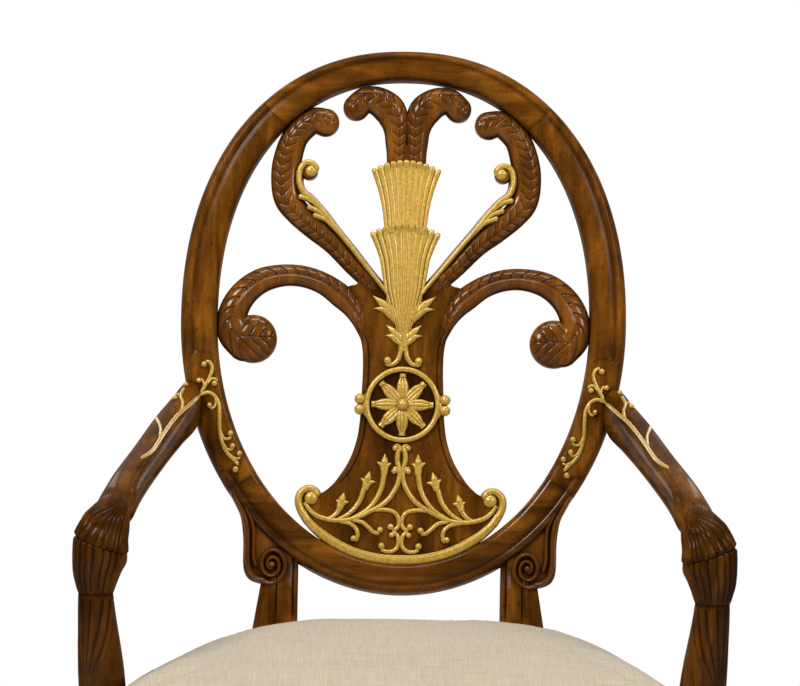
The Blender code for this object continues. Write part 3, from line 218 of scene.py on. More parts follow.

# %% [markdown]
# ## Mahogany
# The wood is stained a warm brown. So the colour has layers: long streaks of grain, cloudy patches, fine
# pores and dark specks. Painted shade lies over them: the wood is darkened near its arrises, where it turns
# away, and in grooves, cuts and hollows, together with the dark hairlines of the joints. The grain runs along
# each member, and carved, stained and polished members differ a little, so seven versions share one recipe.


# %% Mahogany, polished and stained
def mahogany(name, grain, polish, haze=0.12, stain=0.0, dye=swatch(24, 13, 4), edge_shade=0.45):
    material, tree, shader = finish(name)
    spot = here(tree, grain)
    streaks = noise(tree, spot, 1.0, 5.0, 0.6, 0.4)
    wood = spread(tree, streaks, (0.28, swatch(60, 32, 6)), (0.50, swatch(104, 60, 12)),
                  (0.74, swatch(150, 92, 26)))
    clouds = noise(tree, here(tree, EVEN), 26.0, 4.0, 0.6)
    wood = overlay(tree, level(tree, clouds, 0.46, 0.66, 0.0, 0.48), wood, swatch(44, 23, 6))
    pores = noise(tree, spot, 7.0, 3.0)
    wood = overlay(tree, level(tree, pores, 0.60, 0.74, 0.0, 0.55), wood, swatch(40, 22, 8))
    fly_specks = add(tree, "TexVoronoi", {"Vector": here(tree, EVEN), "Scale": 170.0}).outputs["Distance"]
    wood = overlay(tree, level(tree, fly_specks, 0.16, 0.08, 0.0, 0.8), wood, swatch(22, 12, 5))
    wood = overlay(tree, stain, wood, dye)
    # Painted shade: the wood is darkened near its convex edges, where it turns away.
    arris = add(tree, "AmbientOcclusion", {"Distance": 0.007}, samples=8, inside=True).outputs["AO"]
    wood = overlay(tree, level(tree, arris, 0.35, 0.80, edge_shade, 0.0), wood, swatch(30, 15, 5))
    # Painted shade: darker in grooves, cuts and hollows, from the carving's stored darkness and from ambient
    # occlusion; the stored darkness also holds the dark joint lines.
    hollow = recess(tree, 0.016)
    wood = overlay(tree, level(tree, hollow, 0.0, 1.0, 0.0, 0.88), wood, swatch(18, 9, 3))
    patches = noise(tree, here(tree, EVEN), 22.0, 3.0)
    dress(tree, shader, {"Base Color": wood, "Roughness": level(tree, patches, 0.3, 0.7, 0.24, 0.42),
                         "Normal": bump(tree, pores, 0.10, 0.0006), "Specular IOR Level": 0.0,
                         "Coat Weight": level(tree, hollow, 0.4, 0.85, polish, 0.02), "Coat Roughness": haze})
    return material


mahogany_wide = mahogany("mahogany_grain_across", (7, 60, 60), 0.14, 0.16)
mahogany_deep = mahogany("mahogany_grain_front_to_back", (60, 7, 60), 0.12, stain=0.30)
mahogany_tall = mahogany("mahogany_grain_upright", (60, 60, 7), 0.12, 0.2)
mahogany_carved = mahogany("mahogany_carved_and_waxed", (60, 60, 7), 0.5, stain=0.12,
                           dye=swatch(176, 104, 40), edge_shade=0.12)
mahogany_low = mahogany("mahogany_polished_rail", (7, 60, 60), 0.4, 0.13)
mahogany_dark = mahogany("mahogany_dark_stained", (60, 60, 7), 0.14, stain=0.3)
mahogany_board = mahogany("mahogany_stained_board", (60, 60, 7), 0.12, 0.2, stain=0.15)
print("mahogany with its grain across, front to back and upright, in seven versions")

# %% [markdown]
# ## Gold leaf
# Leaf is thin metal over a warm ground: not a mirror, more a satin that breaks up into small flecks, and
# painted shade turns it brown in the hollows. A full metal would turn dark against the dim side of the room,
# so the metal is only a share of this finish and a clear coat brings the shine.

# %% Gold leaf
gold_leaf, tree, shader = finish("gold_leaf")
spot = here(tree, EVEN)
flecks = noise(tree, spot, 420.0, 4.0, 0.7)
leaf = spread(tree, flecks, (0.30, swatch(178, 134, 40)), (0.55, swatch(208, 168, 68)),
              (0.8, swatch(234, 204, 112)))
# Painted shade: the leaf is browned in grooves and hollows and at the foot of each stroke.
leaf = overlay(tree, level(tree, recess(tree, 0.004), 0.12, 0.9, 0.0, 0.85), leaf, swatch(96, 58, 14))
dress(tree, shader, {"Base Color": leaf, "Metallic": 0.30, "Coat Weight": 0.8, "Coat Roughness": 0.14,
                     "Roughness": level(tree, flecks, 0.3, 0.7, 0.34, 0.5),
                     "Normal": bump(tree, noise(tree, spot, 900.0), 0.12, 0.0003)})
print("gold leaf of", len(tree.nodes), "shader nodes")

# %% [markdown]
# ## Linen
# Linen is woven from uneven threads. Two crossing waves make its weave and two stretched noises its
# slubs, so no picture of cloth is needed, and the weave keeps its size wherever the cloth curves.

# %% Linen
linen, tree, shader = finish("oatmeal_linen")
spot = here(tree, EVEN)
threads = []
for direction in ("X", "Y"):
    threads.append(add(tree, "TexWave", {"Vector": spot, "Scale": 330.0, "Distortion": 1.4, "Detail": 2.0,
                                         "Detail Scale": 0.35}, bands_direction=direction).outputs["Fac"])
weave = add(tree, "Math", {0: threads[0], 1: threads[1]}, operation="ADD").outputs["Value"]
weft_slubs = noise(tree, here(tree, (25, 900, 60)), 1.0, 2.0)
warp_slubs = noise(tree, here(tree, (900, 25, 60)), 1.0, 2.0)
slubs = add(tree, "Math", {0: weft_slubs, 1: warp_slubs}, operation="ADD").outputs["Value"]
cloth = spread(tree, level(tree, weave, 0.3, 1.7), (0.0, swatch(186, 171, 147)), (1.0, swatch(209, 194, 169)))
cloth = overlay(tree, level(tree, slubs, 0.85, 1.25, 0.0, 0.55), cloth, swatch(160, 141, 112))
# Painted shade: the cloth is darkened in creases and hollows by ambient occlusion.
cloth = overlay(tree, level(tree, recess(tree, 0.02), 0.0, 0.7, 0.0, 0.6), cloth, swatch(112, 96, 74))
dress(tree, shader, {"Base Color": cloth, "Roughness": 0.92, "Sheen Weight": 0.25,
                     "Normal": bump(tree, weave, 0.35, 0.0004)})
print("linen of", len(tree.nodes), "shader nodes")

# %% [markdown]
# ## Finishes of the hidden pieces
# Beech, steel, nylon, jute and cambric are hardly seen. One short recipe, a noise between two colours
# with a little relief, serves them all, and the paper of the studio floor too.


# %% Finishes of the hidden pieces
def plain_finish(name, dark, light, stretch, roughness, metallic=0.0, relief=0.1):
    material, tree, shader = finish(name)
    texture = noise(tree, here(tree, stretch), 1.0, 5.0)
    dress(tree, shader, {"Base Color": spread(tree, texture, (0.3, dark), (0.7, light)), "Metallic": metallic,
                         "Roughness": level(tree, texture, 0.3, 0.7, roughness - 0.08, roughness + 0.08),
                         "Normal": bump(tree, texture, relief, 0.0005)})
    return material


beech = plain_finish("sawn_beech", swatch(176, 132, 88), swatch(206, 166, 120), (20, 120, 120), 0.6)
steel = plain_finish("zinc_plated_steel", swatch(120, 120, 118), swatch(176, 176, 172), (300, 300, 300),
                     0.34, 1.0)
nylon = plain_finish("moulded_nylon", swatch(20, 20, 20), swatch(34, 34, 34), (400, 400, 400), 0.5)
jute = plain_finish("jute_webbing", swatch(120, 92, 58), swatch(168, 138, 98), (500, 500, 60), 0.9,
                    relief=0.5)
cambric = plain_finish("black_cambric", swatch(16, 16, 17), swatch(36, 36, 38), (700, 700, 60), 0.9,
                       relief=0.4)
studio_paper = plain_finish("studio_paper", swatch(232, 231, 229), swatch(240, 239, 237), (6, 6, 6), 0.85)
floor.data.materials.append(studio_paper)
print("six plainer finishes mixed")

# %% [markdown]
# ## Tools of the carver
# Almost every carved piece here is one idea: a closed outline carried along a line. `walk` lays even
# stations on a smooth line, and `sweep` grows a skin through one ring of points per station with
# Blender's extrude operator. A ring's points carry a second number, their darkness, so a groove is cut and
# gets its painted shade at once; the same number marks the dark hairlines at the joints. The chair is the
# same on both sides, so the left piece is made and its mirror image is the right.


# %% Lines
def ease(x):
    """From 0 to 1 without a corner."""
    x = min(max(x, 0.0), 1.0)
    return x * x * (3 - 2 * x)


def smooth_line(points, steps, closed=False):
    spots = [Vector(p) for p in points]
    count = len(spots)
    line = []
    for k in range(count if closed else count - 1):
        a, b, c, d = (spots[(k + j) % count if closed else min(max(k + j, 0), count - 1)]
                      for j in (-1, 0, 1, 2))
        for t in (j / steps for j in range(steps)):
            line.append((2 * b + (c - a) * t + (2 * a - 5 * b + 4 * c - d) * t ** 2
                         + (3 * b - a - 3 * c + d) * t ** 3) / 2)
    return line if closed else line + [spots[-1]]


def heading(line, k):
    """Which way an open line runs at its point k."""
    return line[min(k + 1, len(line) - 1)] - line[max(k - 1, 0)]


def drawn_in(line, k, inset):
    """Point k of a closed line, moved to the line's right."""
    along = (line[(k + 1) % len(line)] - line[k - 1]).normalized()
    return line[k] + Vector((along.y, -along.x)) * inset


def signed_power(x, power):
    return math.copysign(abs(x) ** power, x)


def walk(points, gap):
    """Evenly spaced stations along a smooth line."""
    fine = smooth_line(points, 24)
    reached = [0.0]
    for a, b in zip(fine, fine[1:]):
        reached.append(reached[-1] + (b - a).length)
    count = max(3, round(reached[-1] / gap))
    stations, k = [], 0
    for j in range(count + 1):
        goal = reached[-1] * j / count
        while k < len(fine) - 2 and reached[k + 1] < goal:
            k += 1
        span = reached[k + 1] - reached[k]
        stations.append(fine[k].lerp(fine[k + 1], (goal - reached[k]) / span if span > 0 else 0))
    return stations


# %% Rings and skins
def new_form():
    form = bmesh.new()
    # Each point's darkness: painted shade in grooves, cuts and on turned-away edges, and the dark hairlines
    # at the joints.
    form.verts.layers.float.new("glaze_and_shade")
    return form


def ring_edges(form, ring):
    return [form.edges.get(ends) for ends in zip(ring, ring[1:] + ring[:1])]


def next_ring(form, ring):
    grown = bmesh.ops.extrude_edge_only(form, edges=ring_edges(form, ring))["geom"]
    fresh = {item for item in grown if isinstance(item, bmesh.types.BMVert)}
    return [next(edge.other_vert(vert) for edge in vert.link_edges if edge.other_vert(vert) in fresh)
            for vert in ring]


def sweep(form, rings, closed=True):
    """A skin through rings of (place, darkness), with its two ends filled; the darkness is painted shade and
    dark joint lines.
    """
    glaze_and_shade = form.verts.layers.float["glaze_and_shade"]
    first = ring = bmesh.ops.create_circle(form, segments=len(rings[0]), radius=1)["verts"]
    for k, points in enumerate(rings):
        ring = next_ring(form, ring) if k else ring
        for vert, (place, dark) in zip(ring, points):
            vert.co, vert[glaze_and_shade] = place, dark
    for end in (first, ring) if closed else ():
        bmesh.ops.edgeloop_fill(form, edges=ring_edges(form, end))


# %% Finished pieces
def piece(name, form, material, slot, *stands_for, crease=40):
    bmesh.ops.recalc_face_normals(form, faces=form.faces)
    made = bare_object(name, form)
    made.data.shade_smooth()
    made.data.set_sharp_from_angle(angle=math.radians(crease))
    made.data.materials.append(material)
    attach(made, "root")
    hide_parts(*stands_for)
    print(name, len(made.data.polygons), "faces")
    return made


def both_sides(name, form, material, slot, *stands_for, crease=40):
    """The left piece as made and its mirror image on the right."""
    twin = form.copy()
    bmesh.ops.scale(twin, vec=(-1, 1, 1), verts=twin.verts)
    made = []
    for side, shape in (("left", form), ("right", twin)):
        solids = [node if node == "back_splat" else f"{node}_{side}" for node in stands_for]
        made.append(piece(f"{name}_{side}", shape, material, slot, *solids, crease=crease))
    return made


# %% [markdown]
# ## The drawing of the back
# The oval, the splat and the gilding were drawn flat, in millimetres from the oval's centre, u to the
# right and v up. `on_back` takes a place of the drawing, with a height w in front of the board's middle,
# to the leaning back of the chair.

# %% The leaning drawing board
BACK_Y, BACK_Z, RAKE = 0.2165, 0.770, 10
BOARD = Matrix.Translation((0, BACK_Y, BACK_Z)) @ Matrix.Rotation(math.radians(90 - RAKE), 4, "X")
OUT = (BOARD.to_3x3() @ Vector((0, 0, 1))).normalized()
STRETCH = 243 / 241


def on_back(u, v, w=0.0):
    return BOARD @ (Vector((u, v * STRETCH, w)) * 0.001)


print("the back leans", round(math.degrees(math.asin(OUT.z)), 1), "degrees")

# %% [markdown]
# ## The oval frame
# Four members make the oval: a crest, two stiles and a lower rail, joined on dowels. Their section has a
# broad, barely rounded face, a quirk, a bead and a splayed outer side. Where an arm lands on a stile the
# moulding stops at an arched edge and leaves a flat pad for the gilding. At each joint the last ring is
# darkened, which leaves the hairline that shows on the real chair.

# %% Moulded members of the oval
# Each RIM point is (share across, height of the moulding, height on the pad, darkness); the darkness is
# painted shade in the quirk and on the outer edge, which turns away.
RIM = [(0.0, -0.40, -0.40, 0), (0.0, 0.0, 0.0, 0), (0.004, 0.20, 0.22, 0), (0.03, 0.33, 0.35, 0),
       (0.08, 0.415, 0.43, 0), (0.16, 0.462, 0.47, 0), (0.26, 0.485, 0.485, 0), (0.38, 0.492, 0.485, 0),
       (0.48, 0.482, 0.485, 0), (0.56, 0.460, 0.485, 0.1), (0.62, 0.436, 0.485, 0.4),
       (0.67, 0.424, 0.485, 0.6), (0.71, 0.440, 0.485, 0.4), (0.75, 0.462, 0.485, 0),
       (0.79, 0.464, 0.482, 0), (0.835, 0.444, 0.46, 0), (0.875, 0.402, 0.42, 0), (0.915, 0.342, 0.36, 0),
       (0.95, 0.25, 0.26, 0.15), (0.978, 0.12, 0.12, 0.4), (1.0, -0.12, -0.12, 0.5),
       (0.997, -0.34, -0.34, 0), (0.965, -0.44, -0.44, 0), (0.89, -0.495, -0.495, 0), (0.5, -0.5, -0.5, 0),
       (0.12, -0.495, -0.495, 0), (0.03, -0.46, -0.46, 0)]
PAD_TOP, PAD_FOOT, PAD_ARCH, PAD_EDGE = 187.5, 216.5, 2.2, 0.9
RIM_DEPTH = 28.0


def oval(half_width, half_height, turn):
    c, s = math.cos(turn), math.sin(turn)
    power = 2 / (2.2 if s > 0 else 2.0)
    return Vector((signed_power(c, power) * half_width, signed_power(s, power) * half_height))


def rim_spot(share, degrees):
    turn = math.radians(degrees)
    return oval(186, 241, turn).lerp(oval(222.5, 271.25, turn), share)


def rim_ring(degrees, joint):
    around = degrees % 360
    on_left = around if 90 < around < 270 else (180 - around) % 360
    ring = []
    for share, moulded, flat, quirk in RIM:
        arch = PAD_ARCH * (2 * share - 1) ** 2
        pad = ease((on_left - PAD_TOP - arch) / PAD_EDGE) * ease((PAD_FOOT - arch - on_left) / PAD_EDGE)
        height = moulded + (flat - moulded) * pad
        # Painted shade along the arched edge of the pad.
        edge = 2.4 * pad * (1 - pad) if 0.1 < share < 0.9 and height > 0.3 else 0
        spot = rim_spot(share, degrees)
        ring.append((on_back(*spot, height * RIM_DEPTH), max(quirk * (1 - pad), edge, joint)))
    return ring


def rim_member(name, start, end, material):
    form = new_form()
    count = round((end - start) / 0.4)
    turns = [start + 0.02, start + 0.1] + [start + (end - start) * k / count for k in range(1, count)]
    turns += [end - 0.1, end - 0.02]
    sweep(form, [rim_ring(turn, 0.7 if k in (0, len(turns) - 1) else 0) for k, turn in enumerate(turns)])
    return piece(f"moulded_{name}", form, material, "mahogany", name, crease=60)


rim_member("crest_rail", 51, 129, mahogany_wide)
rim_member("stile_left", 129, 219.5, mahogany_tall)
rim_member("lower_rail", 219.5, 320.5, mahogany_low)
rim_member("stile_right", -39.5, 51, mahogany_tall)

# %% [markdown]
# ## The splat
# The splat is one pierced board. Its body is a waisted plate with a raised border: a knife groove runs a
# few millimetres inside the edge. Rings of the same outline, drawn in step by step, cut that groove, and
# painted shade darkens it and the plate's edge.


# %% Body of the splat
def stepped_plate(form, outline, steps, cut=lambda v: 1.0):
    """A plate whose front climbs through steps of (inset, height, painted shade); cut says how much shows at
    v.
    """
    face = steps[-1][1]
    rings = []
    for number, (inset, height, dark) in enumerate(steps):
        ring = []
        for k, spot in enumerate(outline):
            shown = cut(spot.y) if inset > 1 else 1.0
            place = drawn_in(outline, k, inset if inset <= 1 else 1 + (inset - 1) * shown + 0.08 * number)
            ring.append((on_back(*place, face + (height - face) * shown), dark * shown))
        rings.append(ring)
    sweep(form, rings)


def mirrored(points):
    return [(-p[0], *p[1:]) for p in points]


def arc(centre, radius, start, end, count):
    turns = [math.radians(start + (end - start) * k / (count - 1)) for k in range(count)]
    return [(centre[0] + radius * math.cos(a), centre[1] + radius * math.sin(a)) for a in turns]


BODY_SIDE = [(14, 176), (17, 140), (19.5, 112), (19.5, 94), (18, 78), (16, 60), (17, 42), (19.5, 34),
             (25, 35.5), (34, 45.5), (41, 50), (45, 45), (47, 36), (56, 33), (68, 27), (70.5, 19),
             (60, 10.3), (51.5, 0), (46.5, -9), (42.5, -20), (40.5, -32), (40, -44), (40, -54), (40.4, -65),
             (41, -80), (42, -100), (45, -120), (52, -140), (64, -159), (73, -168.5), (79, -172.5)]
FOOT_SIDE = arc((91, -177.5), 13.2, 145, -30, 11) + [(99, -193.5), (94.5, -200.5), (88, -207.5), (80, -214.5),
                (69, -221.5), (56, -229), (40, -235.5), (20, -240), (0, -241.5)]
# Each step is (inset, height, darkness); the darkness is painted shade on the plate's edge and in the knife
# groove.
BORDER = [(1.0, -8, 0), (0.2, -7, 0), (0, 0, 0.5), (0, 4.2, 0.4), (0.5, 5.3, 0), (1.6, 6.0, 0),
          (4.4, 6.0, 0), (4.9, 5.3, 0.7), (5.4, 5.0, 0.9), (6.0, 5.2, 0.7), (6.6, 5.5, 0.0),
          (7.4, 5.5, 0.0)]
body = new_form()
right_half = smooth_line(BODY_SIDE, 5) + smooth_line(FOOT_SIDE, 4)
body_line = [Vector(p[:2]) for p in right_half] + [Vector((-p[0], p[1])) for p in right_half[-2::-1]]
stepped_plate(body, body_line, BORDER, cut=lambda v: ease((-4 - v) / 22) * ease((v + 166) / 12))
dark_ground = [(0, 4, 0.6), (0, 5.58, 0.6), (0.5, 5.6, 0.6)]
stepped_plate(body, [Vector(p) for p in arc((0, -84), 33.5, 0, -354, 60)], dark_ground)
piece("pierced_splat", body, mahogany_board, "mahogany", "back_splat", crease=50)

# %% [markdown]
# ## Feathers and volutes
# The carver draws a feather as a band with a vein, then cuts slanting barbs from the vein outwards and
# lets each barb lie over the next. Here the band's rings are half a millimetre apart, and a small
# function says how deep the gouge goes at a place: how far along, how far across, how wide the band is
# there. The volutes differ: their upper half is leafy, and the lower half is left as a smooth round
# moulding.


# %% Carved bands
ROOT = 30.0  # a band grows out of the board over this length


def carved_band(form, line, back, crown, relief, gap=0.55, across=38):
    stations = walk(line, gap)
    last = stations[-1]
    onwards = (last - stations[-4]).xy.normalized()
    for k in range(1, 15):
        turn = math.radians(88 * k / 14)
        stations.append(Vector((*(last.xy + onwards * last.z * math.sin(turn)), last.z * math.cos(turn))))
    shoulder = back + 0.42 * (crown - back)
    shares = [math.sin(math.pi / 2 * (2 * j / across - 1)) for j in range(across + 1)]
    rings, run = [], 0.0
    for k, here_now in enumerate(stations):
        along = heading(stations, k).xy.normalized()
        run += (here_now - stations[max(k - 1, 0)]).xy.length
        side = Vector((along.y, -along.x))
        full = here_now.z / last.z if k >= len(stations) - 14 else 1.0
        ring = []
        for share in shares:
            drop, dark = relief(run, share, here_now.z)
            dome = (1 - abs(share) ** 2.4) ** 0.55
            grown = ease(run / ROOT)
            crest = 4.4 + (crown - 4.4) * grown
            height = shoulder + (crest - shoulder) * dome * (0.25 + 0.75 * full) - drop * full * grown
            # Painted shade on the band's sides, where they turn away.
            flank_shade = 0.9 * ease((abs(share) - 0.76) / 0.2)
            ring.append((on_back(*(here_now.xy + side * share * here_now.z), height),
                         max(dark * grown, flank_shade) * full))
        for share, height in ((1.0, back + 1.5), (0.9, back), (0.0, back), (-0.9, back), (-1.0, back + 1.5)):
            ring.append((on_back(*(here_now.xy + side * share * here_now.z), height), 0))
        rings.append(ring)
    sweep(form, rings)


# %% Gouge cuts
def barbs(pitch, vein, low, high, slant, depth):
    """Gouge cuts of a feather between two shares of its width, with a vein; the rest stays smooth. Cuts, vein
    and the lower end of each barb get painted shade.
    """
    def relief(run, share, half):
        off = (share - vein) * half
        beat = (run - slant * abs(off) ** 1.15) / pitch % 1.0
        cut = max(0.0, 1 - min(beat, 1 - beat) * pitch / 1.3)
        inside = ease((share - low) * half / 1.6) * ease((high - share) * half / 1.6)
        vein_cut = max(0.0, 1 - abs(off) / 1.0)
        drop = inside * depth * (cut + 0.55 * (1 - beat)) + 0.8 * depth * vein_cut
        return drop, max(cut * inside, 0.95 * vein_cut, 0.5 * inside * (1 - beat) ** 1.5)
    return relief


def leaf_over_moulding(pitch, slant, depth):
    """A volute's section: leafy above its middle line, a smooth roll below it. Cuts, the middle line and each
    barb's lower end get painted shade.
    """
    def relief(run, share, half):
        off = (share - 0.02) * half
        valley = math.exp(-(off / 1.5) ** 2)
        line_cut = max(0.0, 1 - abs(off) / 0.7)
        if off < 0:
            return 1.5 * depth * valley, 0.9 * line_cut
        beat = (run - slant * off ** 1.2) / pitch % 1.0
        cut = max(0.0, 1 - min(beat, 1 - beat) * pitch / 1.3)
        inside = ease((0.9 - share) * half / 0.9 + 0.4) * ease(off / 1.0)
        drop = inside * depth * (cut + 0.55 * (1 - beat)) + 1.5 * depth * valley
        return drop, max(cut * inside, 0.9 * line_cut, 0.5 * inside * (1 - beat) ** 1.5)
    return relief


# %% Plumes, S feathers and volutes
PLUME = [(-9.8, 126, 9.8), (-9.9, 146, 9.9), (-10.0, 166, 10), (-10.6, 180, 11), (-11, 191, 12.2),
         (-13, 202, 14.6), (-18.5, 212.5, 16), (-30, 220.5, 14.6), (-42.5, 221.5, 13), (-51.5, 213.5, 13)]
S_FEATHER = [(-20, 22, 6.5), (-28, 30.5, 7.4), (-37, 40, 8), (-52, 54, 8.6), (-72, 76, 10.3), (-91, 92, 12),
             (-109, 108, 12.8), (-119, 123, 14), (-121, 145, 14.6), (-118.5, 164, 14.2),
             (-112.5, 182, 13.2), (-103, 193.5, 12.8), (-93, 200, 12.8), (-82, 198, 14)]
VOLUTE = [(-37, -20, 4.5), (-41, -9, 6), (-45.5, 2, 8), (-52, 12.5, 10), (-62, 23, 11.8), (-80, 35.5, 10.8),
          (-100, 42.5, 10.5), (-120, 43.5, 10.7), (-140, 39, 12), (-155, 29.5, 13), (-166, 16, 14),
          (-171.5, 0, 15), (-169, -14, 17), (-158, -24, 19)]
form = new_form()
carved_band(form, PLUME, -7.5, 8.5, barbs(9.5, 0.28, -0.40, 0.93, 0.6, 1.0))
both_sides("plume_feather", form, mahogany_carved, "mahogany", "back_splat", crease=70)
form = new_form()
carved_band(form, S_FEATHER, -7.8, 8.2, barbs(9.5, -0.28, -0.93, 0.40, 0.6, 1.0))
ACANTHUS = [(-107.3, 143), (-106.5, 134), (-102.5, 126), (-94, 119.5), (-80, 104), (-70, 91), (-60, 79),
            (-50, 67), (-40, 54.5), (-30, 42.3), (-21, 31.5), (-15, 23)]
carved_band(form, [(*p, 4.4) for p in ACANTHUS[::-1]], -7, 8.2, lambda run, share, half: (0, 0), gap=2.0,
            across=12)
curled_disc = [(1.2, -7, 0), (0, -6, 0), (0, 6.5, 0), (1.5, 8.0, 0)]
stepped_plate(form, [Vector(p) for p in arc((-97, 148), 8.5, 0, -348.75, 32)], curled_disc)
both_sides("s_feather", form, mahogany_carved, "mahogany", "back_splat", crease=70)
form = new_form()
carved_band(form, VOLUTE, -7.2, 8.8, leaf_over_moulding(11.0, 0.55, 1.2))
both_sides("leafy_volute", form, mahogany_carved, "mahogany", "back_splat", crease=70)


# %% [markdown]
# ## Curled leaves
# The eye of each volute holds a leaf that curls over itself. It is a dome, built from rings that shrink
# towards the top, and it is cut with the same barbs as a feather. A flattened sphere would give the dome
# too, but not its upright rim.


# %% Curled leaf in the eye of each volute
def curled_leaf(form, centre, radius, back, crown, midrib, relief):
    """A domed disc, cut like a leaf whose midrib points a given way."""
    c, s = math.cos(math.radians(midrib)), math.sin(math.radians(midrib))
    sides = 84
    levels = [(0.93, back), (1.0, back + 2.5), (1.0, back + 7.0)]
    levels += [(math.cos(math.radians(90 * k / 44)) if k < 44 else 0.01, None) for k in range(1, 45)]
    rings = []
    for share, height in levels:
        ring = []
        for k in range(sides):
            turn = math.tau * k / sides
            p, q = radius * share * math.cos(turn), radius * share * math.sin(turn)
            along, off = p * c + q * s, -p * s + q * c
            off += 4.5 * math.sin(1.5 * along / radius)
            drop = dark = 0
            place_w = height
            if height is None:
                drop, dark = relief(along + radius, off / radius, radius)
                fade = ease((1 - share) * radius / 3.0)
                place_w = back + 7.0 + (crown - back - 7.0) * (1 - share ** 2.6) ** 0.5 - drop * fade
                dark *= fade
            ring.append((on_back(centre[0] + p, centre[1] + q, place_w), dark))
        rings.append(ring)
    sweep(form, rings)


form = new_form()
curled_leaf(form, (-150, -20.5), 24.0, -8.0, 9.8, 14, barbs(10.5, 0.05, -2.0, 2.0, 0.5, 0.9))
both_sides("curled_leaf", form, mahogany_carved, "mahogany", "back_splat", crease=70)

# %% [markdown]
# ## Gilding: the wheat sheaf
# Two fans of reeds stand one above the other. Each reed is a rod that widens with its fan, so every rod
# follows the same outline at its own share of the width. The tops are rounded like petals.


# %% Reeds of the two sheaves
SEAT_W = 5.4


def reed(form, outline, share, half_share, top, crown):
    """One rod of a fan; outline gives the fan's half width at a height."""
    low = outline[0][0]
    heights = [low + (top - low) * k / 60 for k in range(61)]
    rings = []
    for v in heights:
        k = max(j for j in range(len(outline) - 1) if outline[j][0] <= v or j == 0)
        (v0, w0), (v1, w1) = outline[k], outline[k + 1]
        t = min(max((v - v0) / (v1 - v0), 0), 1)
        fan = w0 + (w1 - w0) * t
        half = fan * half_share
        left = (top - v) / max(half, 0.5)
        tip = math.sqrt(max(0.0, 1 - max(0.0, 1 - left) ** 2)) if left < 1 else 1.0
        swell = 1 + 0.35 * math.exp(-((top - v - 4) / 5.0) ** 2)
        ring = []
        for j in range(11):
            t = math.cos(math.pi * j / 10)
            flat = 0.35 + 0.65 * max(ease((abs(share) - 0.5) / 0.3), ease((9 - top + v) / 7))
            dome = crown * flat * min(1.0, half / 2.2 + 0.25) * swell * math.sqrt(1 - t * t)
            # Painted shade on the sides of each rod, where it meets its neighbours.
            ring.append((on_back(fan * share + half * 1.02 * t * max(tip, 0.05), v,
                                 SEAT_W + (2.4 + dome) * max(tip, 0.12)), 0.7 * flat * abs(t) ** 8))
        ring += [(on_back(fan * share + half * t * max(tip, 0.05), v, SEAT_W - 0.6), 0) for t in (-0.9, 0.9)]
        rings.append(ring)
    sweep(form, rings)


UPPER_FAN = [(87, 20.8), (94.5, 21.5), (106, 22.8), (118, 25), (130, 28.2), (140, 31.6), (149, 35),
             (162, 36)]
LOWER_FAN = [(-31, 3.6), (-18, 5), (0, 10), (15, 15.2), (30, 20), (42, 22), (60, 25), (72, 29.4), (84, 35),
             (98, 37)]
REEDS = 11
for name, outline, crest, fall, crown, node in (("upper", UPPER_FAN, 161, 11, 1.7, "upper_sheaf"),
                                                ("lower", LOWER_FAN, 97.5, 11, 2.4, "lower_sheaf")):
    form = new_form()
    for k in range(REEDS):
        share = (2 * k - REEDS + 1) / REEDS
        reed(form, outline, share, 1 / REEDS, crest - fall * abs(share) ** 2, crown)
    piece(f"{name}_reeded_sheaf", form, gold_leaf, "gilt", node, crease=60)

# %% [markdown]
# ## Gilding: strokes and beads
# The rest of the gilding is drawn with a few kinds of mark: a rounded stroke that tapers, a bead, a leaf
# that is a stroke with a swollen middle. A stroke lies on a surface, so besides its places it knows which
# way the surface faces.

# %% Marks of the gilder
STROKE = [(math.cos(math.radians(a)), math.sin(math.radians(a))) for a in range(0, 181, 30)]
STROKE += [(-0.85, -0.3), (0.85, -0.3)]


def stroke(form, places, half, height, facing, width):
    """A rounded line; width gives its share of the half width at a share of its length."""
    count = len(places)
    rings = []
    for k, place in enumerate(places):
        along = heading(places, k).normalized()
        out = facing[k] if isinstance(facing, list) else facing
        side = along.cross(out).normalized()
        share = max(width(k / (count - 1)), 0.06)
        # Painted shade along the foot of the stroke, where it meets the surface below.
        rings.append([(place + (side * c * half * share + out * s * height * share ** 0.6) * 0.001,
                       0.3 if s < 0.2 else 0.0) for c, s in STROKE])
    sweep(form, rings)


def blunt(t):
    return math.sqrt(max(0.0, 1 - max(0, abs(2 * t - 1) - 0.92) ** 2 / 0.0064))


def fading(t):
    return (1 - 0.45 * t) * blunt(t)


def leaf_shape(t):
    return math.sin(math.pi * min(t * 1.02, 1.0)) ** 0.7 * (1.15 - 0.3 * t)


def flat_stroke(form, points, half, height=2.6, width=blunt, seat=SEAT_W, gap=1.0):
    stroke(form, [on_back(p.x, p.y, seat) for p in walk([(*p, 0) for p in points], gap)], half, height, OUT,
           width)


def bead(form, spot, radius, seat=SEAT_W, rise=None):
    """A ball let into the surface, or a flatter boss when its rise is given."""
    centre = on_back(*spot, seat + (0 if rise else radius * 0.45))
    size = Matrix.Diagonal((radius, radius, rise or radius, 1000)) * 0.001
    bmesh.ops.create_uvsphere(form, u_segments=14, v_segments=9, radius=1.0,
                              matrix=Matrix.Translation(centre) @ BOARD.to_3x3().to_4x4() @ size)


def flip(points, side):
    return [(side * u, v) for u, v in points]


def spiral(centre, start_radius, end_radius, start, turns, count=40):
    line = []
    for k in range(count + 1):
        t = k / count
        turn = math.radians(start) + math.tau * turns * t
        radius = start_radius + (end_radius - start_radius) * t
        line.append((centre[0] + radius * math.cos(turn), centre[1] + radius * math.sin(turn)))
    return line


